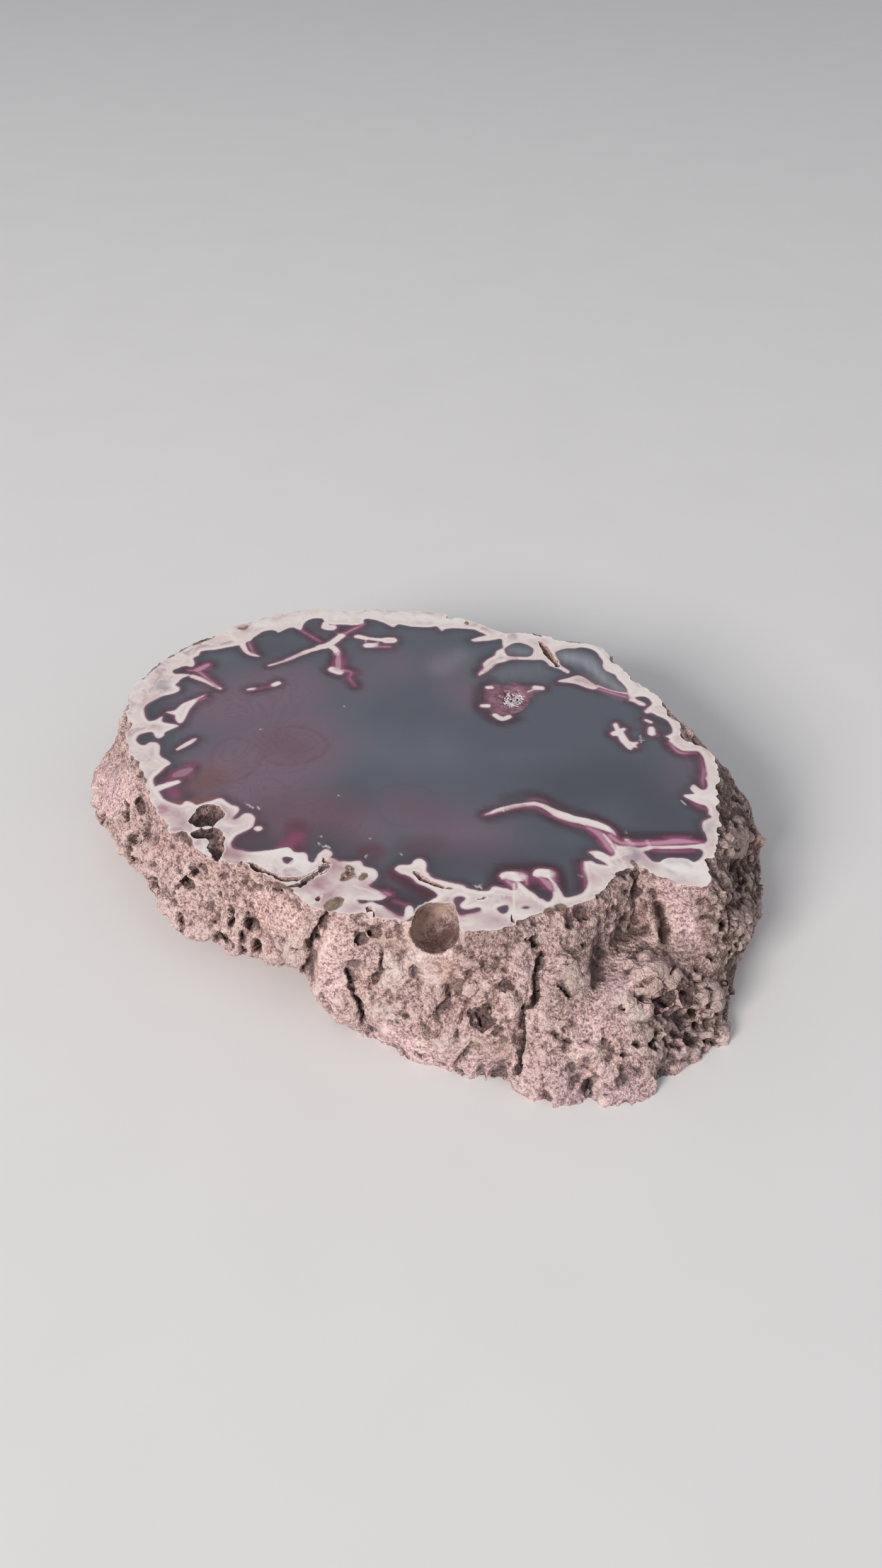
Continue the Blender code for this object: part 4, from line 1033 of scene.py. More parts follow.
def carveWall(stone, calm):
    # Cracks, pits, pores and lumps, and how deep each vertex went, for the finish
    places = vertexPlaces(stone)
    normals = vertexNormals(stone)
    onWall = (places[:, 2] > -2 * mm) & (places[:, 2] < faceHeight + 0.5 * mm)
    onWall &= np.abs(normals[:, 2]) < 0.97
    facing, pixels = nearPhoto(places, normals)
    facing &= onWall
    wallOnes = np.nonzero(onWall)[0]
    ragged = np.zeros((len(places), 3))
    for i in wallOnes:
        spot = Vector(places[i] / mm)
        ragged[i] = noise.noise_vector(spot / 3.4) + noise.noise_vector(spot / 1.5) * 0.4
    pixels = pixels + ragged[:, :2] * wallRaggedness
    depth = np.where(facing, nearDepth(pixels), 0.0)
    depth = np.maximum(depth, np.where(onWall, hiddenDepth(places, ragged), 0))

    tree = searchTree(places[wallOnes], wallOnes)
    rough = calm < 0.6
    belowRim = places[:, 2] < faceHeight - 1.5 * mm
    zones = [np.nonzero(facing & (ovalReach(pixels, *zone[:2]) < 1) & rough)[0] for zone in spongeZones]
    for start, radius, deep in drawPores(zones, np.nonzero(onWall & rough & belowRim)[0]):
        for spot, index, away in tree.find_range(places[start], radius * 1.5 * mm):
            share = 1.0 - (away / mm / radius * (1 + ragged[index, 0] * 0.9)) ** 2
            depth[index] = max(depth[index], deep * share)

    rise = np.zeros(len(places))
    for middle, halfSizes, height in wallLumps:
        share = softStep(1.25 - ovalReach(pixels, middle, halfSizes), 0, 0.55)
        rise = np.maximum(rise, np.where(facing, height * share, 0))
    setPlaces(stone, places - normals * ((depth - rise) * mm)[:, None])
    return depth


def carveFace(stone, quiet):
    # Pushes the narrow slits down into the face, ready for the saw to open them
    places = vertexPlaces(stone)
    onTop = places[:, 2] > faceHeight + 2.0 * mm
    flat = places[:, :2] / mm
    size, reach = stoneBody["slitWave"]
    ragged = np.array([noise.noise(Vector((x, y, 0)) / size) * reach if top else 0
                       for (x, y), top in zip(flat, onTop)])
    ragged *= 1 - quiet
    drop = np.zeros(len(places))
    for deep, radii, pixels in faceSlits:
        inside = strokeDistance(flat, *strokeOnFace(pixels, radii)) + ragged
        push = (stoneBody["sawAllowance"] / mm + deep) * softStep(inside, -0.5, 0.35)
        drop = np.maximum(drop, np.where(onTop, push, 0))
    places[:, 2] -= drop * mm
    setPlaces(stone, places)


def keepInBox(stone):
    places = vertexPlaces(stone)
    for axis in (0, 1):
        low = cadBox[0][axis] + stoneBody["boxGap"]
        high = cadBox[1][axis] - stoneBody["boxGap"]
        places[:, axis] = np.clip(places[:, axis], low, high)
    setPlaces(stone, places)


def sawFlats(stone):
    selectFaces(stone, lambda face: True)
    for height, side in ((faceHeight, 1), (0.0, -1)):
        bpy.ops.mesh.select_all(action="SELECT")
        bpy.ops.mesh.bisect(plane_co=(0, 0, height), plane_no=(0, 0, side), clear_outer=True,
                            use_fill=False, threshold=1e-4 * mm)
    bpy.ops.object.mode_set(mode="OBJECT")


def inOrder(parts):
    # A set of mesh parts has no order of its own, so it gets one that is the same in every run
    return sorted(parts, key=lambda part: part.index)


def dropCrumbs(shape):
    # Keeps the wall and each hollow that opens in a sawn flat
    seen = set()
    groups = []
    for vert in shape.verts:
        if vert in seen:
            continue
        stack = [vert]
        seen.add(vert)
        group = []
        while stack:
            current = stack.pop()
            group.append(current)
            for edge in current.link_edges:
                other = edge.other_vert(current)
                if other not in seen:
                    seen.add(other)
                    stack.append(other)
        groups.append(group)
    for group in groups:
        if not any(vert.is_boundary for vert in group) or len(group) < stoneBody["leastPatch"]:
            bmesh.ops.delete(shape, geom=group, context="VERTS")


def lattice(tree, spacing, reach, box):
    # A net of points, close near the traced lines and wide elsewhere
    (lowX, lowY), (highX, highY) = box
    points = []
    rowGap = spacing * math.sqrt(3) / 2
    for row in range(int((highY - lowY) / rowGap)):
        y = lowY + row * rowGap
        for column in range(int((highX - lowX) / spacing)):
            x = lowX + (column + 0.5 * (row % 2)) * spacing
            coarse = row % 4 == 0 and column % 4 == 0
            middling = row % 2 == 0 and column % 2 == 0
            if coarse or tree.find((x, y, 0))[2] < reach * (2.6 if middling else 1):
                points.append((x, y))
    return points


def fillFlat(shape, height, net, tree, upward):
    # Closes one sawn flat with a net of triangles that follows the pattern
    spacing, reach = net
    border = [edge for edge in shape.edges if edge.is_boundary
              and abs(edge.verts[0].co.z - height) < 0.1 * mm]
    shape.verts.index_update()
    ring = inOrder({vert for edge in border for vert in edge.verts})
    ringIndex = {vert: i for i, vert in enumerate(ring)}
    for vert in ring:
        vert.co.z = height
    edges = [(ringIndex[edge.verts[0]], ringIndex[edge.verts[1]]) for edge in border]
    flat = [Vector((vert.co.x / mm, vert.co.y / mm)) for vert in ring]
    starts = np.array([flat[first] for first, second in edges])
    ends = np.array([flat[second] for first, second in edges])
    ringTree = searchTree([(*point, 0) for point in flat])
    inner = lattice(tree, spacing, reach, (starts.min(0), starts.max(0)))
    inner = [point for point, kept in zip(inner, insideEdges(np.array(inner), starts, ends)) if kept]
    inner = [Vector(point) for point in inner if ringTree.find((*point, 0))[2] > spacing * 0.6]
    points, unused, faces, origins = delaunay_2d_cdt(flat + inner, edges, [], 0, 1e-5, True)[:4]
    made = []
    for point, origin in zip(points, origins):
        if origin and origin[0] < len(ring):
            made.append(ring[origin[0]])
        else:
            made.append(shape.verts.new((point.x * mm, point.y * mm, height)))
    middles = np.array(points)[np.array(faces)].mean(1)
    count = 0
    for face, kept in zip(faces, insideEdges(middles, starts, ends)):
        corners = [made[i] for i in face]
        if not upward:
            corners.reverse()
        if kept and len(set(corners)) == 3:
            shape.faces.new(corners)
            count += 1
    loose = [vert for vert in made if vert.is_valid and not vert.link_faces]
    bmesh.ops.delete(shape, geom=loose, context="VERTS")
    print("flat at", round(height / mm, 1), "mm closed with", count, "triangles")


def closeCracks(shape):
    # Fills the small gaps left where the rim crosses itself
    mostTurns = 8
    for turn in range(mostTurns):
        shape.verts.index_update()
        shape.faces.index_update()
        crowded = {face for edge in shape.edges if len(edge.link_faces) > 2 for face in edge.link_faces}
        bmesh.ops.delete(shape, geom=inOrder(crowded), context="FACES")
        strays = [edge for edge in shape.edges if edge.is_wire]
        bmesh.ops.delete(shape, geom=strays, context="EDGES")
        cracks = [edge for edge in shape.edges if edge.is_boundary]
        if not cracks:
            break
        if turn % 2:
            near = inOrder({vert for edge in cracks for vert in edge.verts})
            bmesh.ops.remove_doubles(shape, verts=near, dist=0.7 * mm)
            bmesh.ops.dissolve_degenerate(shape, dist=hair, edges=shape.edges[:])
        else:
            bmesh.ops.holes_fill(shape, edges=cracks, sides=0)
        bmesh.ops.triangulate(shape, faces=[face for face in shape.faces if len(face.verts) > 3])
    loose = [vert for vert in shape.verts if not vert.link_faces]
    bmesh.ops.delete(shape, geom=loose, context="VERTS")


def buildStone():
    noise.seed_set(stoneBody["noiseSeed"])
    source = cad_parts["thunderegg_slice"]
    stone = bpy.data.objects.new("polishedSlice", source.data.copy())
    bpy.context.scene.collection.objects.link(stone)
    stone.data.materials.clear()
    selectFaces(stone, lambda face: True)
    bpy.ops.mesh.remove_doubles(threshold=hair)
    growFlats(stone)
    cutEdge(stone)
    applyModifier(stone, "REMESH", mode="VOXEL", voxel_size=stoneBody["voxel"])
    applyModifier(stone, "SMOOTH", factor=0.5, iterations=stoneBody["smoothing"])
    print("remeshed:", len(stone.data.polygons), "faces")

    calm, quiet = calmMasks(stone)
    roughen(stone, calm)
    chip(stone, calm)
    nibbleRim(stone, quiet)
    pitDepth = carveWall(stone, calm)
    # The cavity mask drives painted shade in hollows and painted light on proud places, the pit mask painted
    # shade in the pits
    storeMask(stone, "cavity", cavities(stone))
    storeMask(stone, "pit", pitDepth)
    storeMask(stone, "calm", calm)
    carveFace(stone, quiet)
    keepInBox(stone)
    sawFlats(stone)

    lineTree = searchTree([(*point, 0) for point in patternLines()])
    shape = bmesh.new()
    shape.from_mesh(stone.data)
    dropCrumbs(shape)
    bmesh.ops.dissolve_degenerate(shape, dist=0.01 * mm, edges=shape.edges[:])
    fillFlat(shape, faceHeight, stoneBody["faceNet"], lineTree, True)
    fillFlat(shape, 0.0, stoneBody["undersideNet"], lineTree, False)
    bmesh.ops.triangulate(shape, faces=[face for face in shape.faces if len(face.verts) > 3])
    closeCracks(shape)
    print("open edges:", sum(1 for edge in shape.edges if len(edge.link_faces) != 2))
    shape.to_mesh(stone.data)
    shape.free()
    print("stone:", len(stone.data.polygons), "triangles")
    return stone


def calmMasks(stone):
    # How far each vertex keeps its smooth shape, and where the rim isn't bitten either
    places = vertexPlaces(stone)
    heights = places[:, 2]
    facing, pixels = nearPhoto(places, vertexNormals(stone))
    calm = softStep(heights, faceHeight - stoneBody["rimQuiet"], faceHeight) * stoneBody["rimCalm"]
    for panel in smoothPanels:
        inside = outlineDistance(pixels, smoothed(panel, True))
        calm = np.maximum(calm, np.where(facing, stoneBody["panelCalm"] * softStep(inside, -6, 6), 0))
    away = places[:, :2] / mm - np.array(stoneBody["holeMiddle"])
    hole = softStep(-np.hypot(*away.T), *stoneBody["holeFade"])
    hollow = softStep(vugDistance(places[:, :2] / mm), *stoneBody["vugFade"])
    quiet = np.maximum(np.where(heights > stoneBody["holeBottom"], hole, 0),
                       np.where(heights > stoneBody["vugBottom"], hollow, 0))
    calm = np.maximum(calm, quiet)
    beyond = stoneBody["calmBeyond"]
    calm[(heights > faceHeight + beyond) | (heights < -beyond)] = 1.0
    return calm, quiet


def paintMasks(stone):
    # The pattern's masks on both flats, and broad tints on the wall
    places = vertexPlaces(stone)
    flat = places[:, :2] / mm
    count = len(places)
    onTop = places[:, 2] > faceHeight - hair
    onFloor = places[:, 2] < hair
    masks = facePattern(flat[onTop])
    drift = np.array([noise.noise_vector(Vector(place) * underside["driftScale"])
                      for place in places[onFloor]]).reshape(-1, 3)
    below = facePattern(flat[onFloor] * underside["shrink"] + drift[:, :2] * underside["drift"])
    for name, values in masks.items():
        whole = np.full(count, justOutside if name in ("cream", "rind", "pinkDepth") else 0.0)
        whole[onTop] = values
        whole[onFloor] = below[name]
        storeMask(stone, name, whole)

    inVug = vugDistance(flat)
    storeMask(stone, "rimGap", rimGap(stone, places, onTop) + farFromRim * softStep(inVug, -3.0, -2.0))
    garnet = softStep(inVug, -2.0, -1.0)
    storeMask(stone, "garnet", np.where(places[:, 2] > 22 * mm, garnet, 0))
    facing, pixels = nearPhoto(places, vertexNormals(stone))
    for name, spots in wallTints.items():
        storeMask(stone, name, np.where(facing, strongestPatch(pixels, spots, strokeInPhoto), 0))


def rimGap(stone, places, onTop):
    # Distance in mm of each vertex of the face from the sawn edge
    shape = bmesh.new()
    shape.from_mesh(stone.data)
    flatTop = faceHeight - hair
    sawnEdge = [vert.co.copy() for vert in shape.verts if vert.co.z > flatTop
                and any(edge.other_vert(vert).co.z < flatTop for edge in vert.link_edges)]
    shape.free()
    rimTree = searchTree(sawnEdge)
    gap = np.full(len(places), farFromRim)
    for i in np.nonzero(onTop)[0]:
        gap[i] = rimTree.find(places[i])[2] / mm
    return gap


def tone(red, green, blue):
    # A colour given as it looks on screen, 0 to 255
    values = [channel / 255 for channel in (red, green, blue)]
    return (*[v / 12.92 if v <= 0.04045 else ((v + 0.055) / 1.055) ** 2.4 for v in values], 1.0)


underside = {
    "shrink": 1.07,                  # the pattern is read this many times farther out
    "driftScale": 60,                # waves a metre of its drift
    "drift": 5.0,                    # mm
    "sawDust": tone(176, 162, 158),
    "sawShadow": tone(120, 106, 104),
}

# Tints of the near wall; shade is painted shade, and umber is a brown that is partly painted shade: strength,
# radius and softness in pixels, then the pixels
wallTints = {
    "whiten": [
        (0.8, 12, 12, [(622, 1532), (622, 1562)]), (0.6, 12, 12, [(596, 1600), (618, 1606)]),
        (0.9, 3, 3, [(1040, 1542), (1041, 1550)]), (0.7, 14, 12, [(990, 1590), (1012, 1616)]),
        (0.8, 5, 4, [(480, 1500), (483, 1512)]), (0.5, 12, 10, [(460, 1500), (465, 1520)]),
        (0.6, 8, 8, [(500, 1572), (506, 1578)]), (0.5, 6, 6, [(1142, 1650), (1150, 1660)]),
        (0.7, 4, 4, [(950, 1735), (955, 1755)]), (0.6, 6, 5, [(672, 1688), (690, 1700)]),
        (0.5, 14, 14, [(660, 1520), (690, 1560)]), (0.6, 4, 4, [(338, 1415), (338, 1425)]),
        (0.4, 10, 10, [(700, 1655), (760, 1660)]), (0.6, 4, 4, [(800, 1572), (802, 1580)]),
    ],
    "lilac": [
        (1.0, 16, 12, [(1060, 1400), (1090, 1450), (1096, 1505)]),
        (0.7, 16, 14, [(1000, 1530), (960, 1600), (925, 1660)]),
        (0.6, 18, 18, [(600, 1640), (660, 1670), (700, 1690)]), (0.7, 22, 22, [(170, 1215), (180, 1270)]),
        (0.5, 16, 16, [(860, 1700), (900, 1735)]), (0.5, 14, 14, [(1000, 1745), (1080, 1700)]),
        (0.4, 16, 16, [(230, 1380), (290, 1450)]), (0.5, 14, 14, [(330, 1490), (390, 1515)]),
        (0.5, 18, 18, [(520, 1500), (530, 1560)]), (0.15, 16, 16, [(440, 1440), (450, 1465)]),
    ],
    "khaki": [
        (1.0, 12, 7, [(660, 1482), (670, 1462), (690, 1446), (714, 1430)]),
        (0.5, 12, 10, [(1030, 1560), (1060, 1546)]), (0.5, 12, 10, [(700, 1530), (720, 1560)]),
        (0.4, 12, 12, [(760, 1660), (800, 1670)]), (0.4, 14, 12, [(640, 1500), (600, 1480)]),
    ],
    "shade": [
        (1.0, 13, 8, [(698, 1490), (711, 1482)]), (0.7, 6, 5, [(1042, 1440), (1054, 1480)]),
    ],
    # Olive brown of the right side, darkened further as painted shade where that side turns from the light
    "umberAndShade": [
        (1.0, 50, 40, [(1165, 1250), (1180, 1320), (1190, 1420)]),
        (1.0, 45, 30, [(1190, 1480), (1165, 1580)]),
        (0.7, 22, 18, [(1128, 1440), (1140, 1520), (1120, 1560)]),
        (0.9, 20, 16, [(1040, 1625), (1046, 1665)]), (0.7, 24, 22, [(930, 1490), (905, 1570)]),
        (0.45, 26, 24, [(970, 1420), (1010, 1400), (1000, 1450)]),
        (0.9, 10, 8, [(1046, 1440), (1056, 1500)]), (0.4, 26, 26, [(740, 1496), (800, 1500), (840, 1484)]),
        (0.35, 30, 30, [(920, 1470), (990, 1470)]),
        (0.5, 34, 30, [(1090, 1560), (1120, 1640), (1070, 1695)]),
        (0.6, 20, 18, [(1090, 1500), (1120, 1560)]), (0.7, 18, 16, [(1060, 1640), (1050, 1690)]),
        (0.8, 22, 18, [(1090, 1640), (1130, 1620)]), (0.5, 14, 14, [(1000, 1700), (1060, 1700)]),
        (0.4, 14, 14, [(400, 1380), (420, 1390)]), (0.5, 10, 10, [(460, 1505), (458, 1530)]),
    ],
    "rose": [
        (0.7, 6, 6, [(582, 1562), (588, 1568)]), (0.8, 5, 5, [(402, 1500), (404, 1510)]),
        (0.6, 5, 5, [(860, 1512), (880, 1516)]), (0.5, 5, 6, [(510, 1605), (560, 1648)]),
        (0.6, 4, 4, [(790, 1722), (800, 1728)]), (0.6, 4, 4, [(862, 1727), (866, 1732)]),
        (0.7, 8, 7, [(1202, 1338), (1204, 1350)]), (0.4, 12, 12, [(240, 1340), (300, 1350)]),
        (0.5, 6, 6, [(296, 1330), (310, 1345)]), (0.4, 16, 16, [(880, 1440), (940, 1460)]),
        (0.5, 5, 5, [(1080, 1698), (1090, 1690)]),
    ],
}


# Materials, with shader sums written as Python sums

class Wire:
    # One node output: adding or multiplying it adds Math nodes
    def __init__(self, finish, socket):
        self.finish = finish
        self.socket = socket

    def sum(self, operation, first, second):
        return self.finish.add("ShaderNodeMath", {"operation": operation}, {0: first, 1: second})

    def __add__(self, other):
        return self.sum("ADD", self, other)

    def __sub__(self, other):
        return self.sum("SUBTRACT", self, other)

    def __rsub__(self, other):
        return self.sum("SUBTRACT", other, self)

    def __mul__(self, other):
        return self.sum("MULTIPLY", self, other)


class Finish:
    # A new material and short ways to add its nodes
    def __init__(self, name):
        self.material = bpy.data.materials.new(name)
        self.material.use_nodes = True
        self.tree = self.material.node_tree
        self.tree.nodes.clear()

    def add(self, kind, settings=None, inputs=None, output=0):
        node = self.tree.nodes.new(kind)
        for name, value in (settings or {}).items():
            setattr(node, name, value)
        for name, value in (inputs or {}).items():
            if isinstance(value, Wire):
                self.tree.links.new(value.socket, node.inputs[name])
            else:
                node.inputs[name].default_value = value
        return Wire(self, node.outputs[output]) if node.outputs else node

    def mask(self, name):
        return self.add("ShaderNodeAttribute", {"attribute_name": name}, output="Fac")

    def place(self, stretch=(1, 1, 1)):
        spot = self.add("ShaderNodeTexCoord", output="Object")
        return self.add("ShaderNodeMapping", inputs={"Vector": spot, "Scale": stretch})

    def mix(self, share, first, second):
        return self.add("ShaderNodeMix", {"data_type": "RGBA"}, {0: share, 6: first, 7: second}, output=2)

    def layers(self, colour, tones, rows):
        # Lays tones over a colour in turn, each by its own share
        for share, over in rows:
            colour = self.mix(share, colour, tones[over] if isinstance(over, str) else over)
        return colour

    def step(self, value, low, high, bottom=0.0, top=1.0):
        inputs = {"Value": value, "From Min": low, "From Max": high, "To Min": bottom, "To Max": top}
        return self.add("ShaderNodeMapRange", {"interpolation_type": "SMOOTHSTEP"}, inputs)

    def clouds(self, spot, sizeMm, detail=3.0, distortion=0.0):
        inputs = {"Vector": spot, "Scale": 1000.0 / sizeMm, "Detail": detail, "Distortion": distortion}
        return self.add("ShaderNodeTexNoise", inputs=inputs, output="Fac")

    def cells(self, spot, sizeMm, feature="F1", output="Distance"):
        inputs = {"Vector": spot, "Scale": 1000.0 / sizeMm}
        return self.add("ShaderNodeTexVoronoi", {"feature": feature}, inputs, output)

    def bent(self, spot, wave, reachMm):
        # Shifts a place by a wave, so that straight cells turn ragged
        shift = (wave - 0.5) * (reachMm * mm)
        offset = self.add("ShaderNodeCombineXYZ", inputs={0: shift, 1: shift * -1.0, 2: shift})
        return self.add("ShaderNodeVectorMath", {"operation": "ADD"}, {0: spot, 1: offset})

    def part(self, kind, value, output):
        # One channel of a colour or one axis of a place
        return self.add(kind, inputs={0: value}, output=output)

    def bump(self, height, depthMm, strength=1.0):
        inputs = {"Height": height, "Distance": depthMm * mm, "Strength": strength}
        return self.add("ShaderNodeBump", inputs=inputs)

    def surface(self, colour, roughness, normal=None, **constants):
        inputs = {"Base Color": colour, "Roughness": roughness}
        if normal is not None:
            inputs["Normal"] = normal
        for name, value in constants.items():
            inputs[name.replace("_", " ")] = value
        shader = self.add("ShaderNodeBsdfPrincipled", inputs=inputs)
        self.add("ShaderNodeOutputMaterial", inputs={"Surface": shader})
        return self.material


agateTones = {
    "grey": tone(91, 95, 105),
    "paleGrey": tone(112, 113, 125),
    "plumGrey": tone(122, 102, 116),
    "wine": tone(100, 52, 66),
    "slate": tone(62, 60, 67),
    "sheen": tone(158, 160, 166),
    "collar": tone(122, 78, 94),
    "collarPale": tone(150, 108, 120),
    "halo": tone(80, 56, 66),
    "line": tone(134, 90, 108),
    "pink": tone(198, 146, 166),
    "magenta": tone(158, 80, 114),
    "dark": tone(70, 46, 56),
    "rust": tone(150, 92, 76),
    "cream": tone(230, 213, 207),
    "mauve": tone(200, 174, 178),
    "milk": tone(246, 239, 234),
    "blush": tone(174, 122, 134),
    "mist": tone(150, 144, 156),
    "edge": tone(212, 180, 190),
    "vein": tone(244, 234, 228),
    "rind": tone(146, 122, 104),
    "rindDark": tone(84, 66, 58),
    "rindPale": tone(184, 164, 144),
}


def agateColour(finish):
    # The colour of the cut agate, from the masks of its pattern
    tones, mask, step = agateTones, finish.mask, finish.step
    spot = finish.place()
    broad = finish.clouds(spot, 30, 2.0, 0.4)
    middling = finish.clouds(spot, 7, 3.0, 0.3)
    fine = finish.clouds(spot, 2.2, 4.0)
    streaks = finish.clouds(finish.place((1, 0.15, 1)), 2.0, 3.0)
    bands = finish.clouds(spot, 15, 2.0, 0.8) * 80.0
    ringing = finish.add("ShaderNodeMath", {"operation": "SINE"}, {0: bands})
    cream = mask("cream") + (fine - 0.5) * 0.55 + (middling - 0.5) * 0.35
    plum = step(mask("plum") + (broad - 0.5) * 0.35, 0.1, 0.9)
    lining = step(cream, -1.1, -0.1) * step(broad + middling, 0.8, 1.15, 0.15, 0.75)
    grey = finish.layers(tones["grey"], tones, [
        # Paler grey, partly the agate's own and partly painted reflection
        (step(mask("pale") + (broad - 0.5) * 0.5, 0.1, 0.95), "paleGrey"),
        (plum, "plumGrey"),
        (step(ringing, 0.2, 1.0, 0.0, 0.14) * step(plum, 0.5, 1.0), "wine"),
        (mask("slate") * 0.85, "slate"),
        (mask("border") * step(middling, 0.3, 0.7, 0.35, 0.8), "slate"),
        (mask("halo") * step(middling, 0.3, 0.65, 0.45, 0.95), "halo"),
        (mask("wine") * 0.9, "wine"),
        # Painted reflection of the polish, in streaks
        (mask("sheen") * step(streaks, 0.3, 0.7, 0.7, 1.0), "sheen"),
        (mask("dark") * 0.9, "dark"),
        (mask("rust"), "rust"),
        (mask("collar"), finish.mix(step(fine, 0.35, 0.65), tones["collar"], tones["collarPale"])),
        (mask("magenta"), "magenta"),
        (lining, "line"),
    ])

    # Cream chalcedony: mauve patches in a pale web, then a bright band, a lilac edge and stains
    ragged = finish.bent(finish.bent(spot, middling, 9), fine, 3)
    web = finish.cells(ragged, 6.5, "DISTANCE_TO_EDGE")
    pale = finish.layers(tones["cream"], tones, [
        (step(middling, 0.42, 0.62), "mauve"),
        (step(web, 0.2, 0.02, 0.0, 0.5), "milk"),
        (step(fine, 0.55, 0.75, 0.0, 0.35), "milk"),
        (step(cream, 2.4, 1.0), "cream"),
        (step(cream, 1.5, 0.7) * step(broad, 0.35, 0.6, 0.2, 0.7), "milk"),
        (step(cream, 0.6, 0.1, 0.0, 0.7), "edge"),
        (mask("milk") * step(fine, 0.3, 0.6, 0.7, 1.0), "milk"),
        (mask("blush") * step(middling, 0.3, 0.6, 0.6, 1.0), "blush"),
        (mask("mist") * 0.9, "mist"),
    ])

    depth = mask("pinkDepth") + (fine - 0.5) * 0.5
    rindShare = step(mask("rind") + (fine - 0.5) * 1.8, -0.2, 0.3)
    rindTone = finish.layers(tones["rindDark"], tones, [
        (step(fine, 0.35, 0.65), "rind"),
        (step(finish.cells(spot, 0.8), 0.5, 0.1, 0.0, 0.6), "rindPale"),
    ])
    colour = finish.layers(grey, tones, [
        (step(cream, -0.22, 0.22), pale),
        (mask("pink") * step(cream, 1.2, 0.0, 0.3, 0.88),
         finish.mix(step(depth, 0.25, 0.95), tones["magenta"], tones["pink"])),
        (step(mask("rimGap") + (fine - 0.5) * 1.4, 0.5, 0.05, 0.0, 0.6), "vein"),
        (rindShare, rindTone),
        (mask("vein") * 0.8, "vein"),
    ])
    return colour, rindShare, spot


def polishedAgate():
    finish = Finish("polishedAgate")
    colour, rindShare, spot = agateColour(finish)
    smear = finish.clouds(spot, 20, 2.0)
    roughness = finish.step(smear, 0.35, 0.7, 0.14, 0.22)
    roughness = roughness + rindShare * 0.5 + finish.mask("vein") * 0.15
    ripple = finish.clouds(spot, 3.5, 2.0) * 0.25 + finish.clouds(spot, 0.8, 2.0) * rindShare * 4
    relief = finish.bump(ripple, 0.05, 0.5)
    return finish.surface(colour, roughness, relief, IOR=1.54, Specular_IOR_Level=0.42)


def sawnAgate():
    # The underside: the same stone, sawn and not polished
    finish = Finish("sawnAgate")
    step = finish.step
    colour, rindShare, spot = agateColour(finish)
    rough = finish.clouds(spot, 1.2, 4.0)
    wave = finish.clouds(spot, 9, 4.0, 0.3)
    rind = finish.layers(rindTones["dusty"], rindTones, [
        (step(wave, 0.4, 0.6), "pinkBrown"),
        (step(rough, 0.52, 0.7, 0.0, 0.6), "shadow"),
        (step(rough, 0.45, 0.3, 0.0, 0.5), "light"),
    ])
    colour = finish.layers(colour, underside, [
        (step(finish.mask("cream") + (wave - 0.5) * 7.0, 6.2, 6.7), rind),
        (0.25, "sawDust"),
        (step(rough, 0.4, 0.7, 0.0, 0.2), "sawShadow"),
    ])
    arcs = finish.add("ShaderNodeTexWave", {"wave_type": "BANDS", "bands_direction": "X"},
                      {"Vector": finish.place((1, 0.08, 1)), "Scale": 95.0, "Distortion": 1.2}, "Fac")
    relief = arcs * 0.6 + rough * 0.5
    return finish.surface(colour, step(rough, 0.2, 0.8, 0.5, 0.68), finish.bump(relief, 0.12, 0.6))


rindTones = {
    "dusty": tone(212, 175, 172),
    "pinkBrown": tone(190, 149, 146),
    "tan": tone(200, 164, 154),
    "shadow": tone(98, 74, 70),
    "light": tone(235, 210, 202),
    "whiten": tone(228, 214, 206),
    "lilac": tone(209, 172, 180),
    "khaki": tone(180, 150, 134),
    "shade": tone(84, 56, 52),
    # Olive brown, also painted shade on the side away from the light
    "umberAndShade": tone(90, 71, 55),
    "rose": tone(176, 104, 110),
    # Painted shade in pores, pits and hollows
    "hollowShade": tone(64, 48, 44),
    "garnet": tone(132, 88, 104),
}


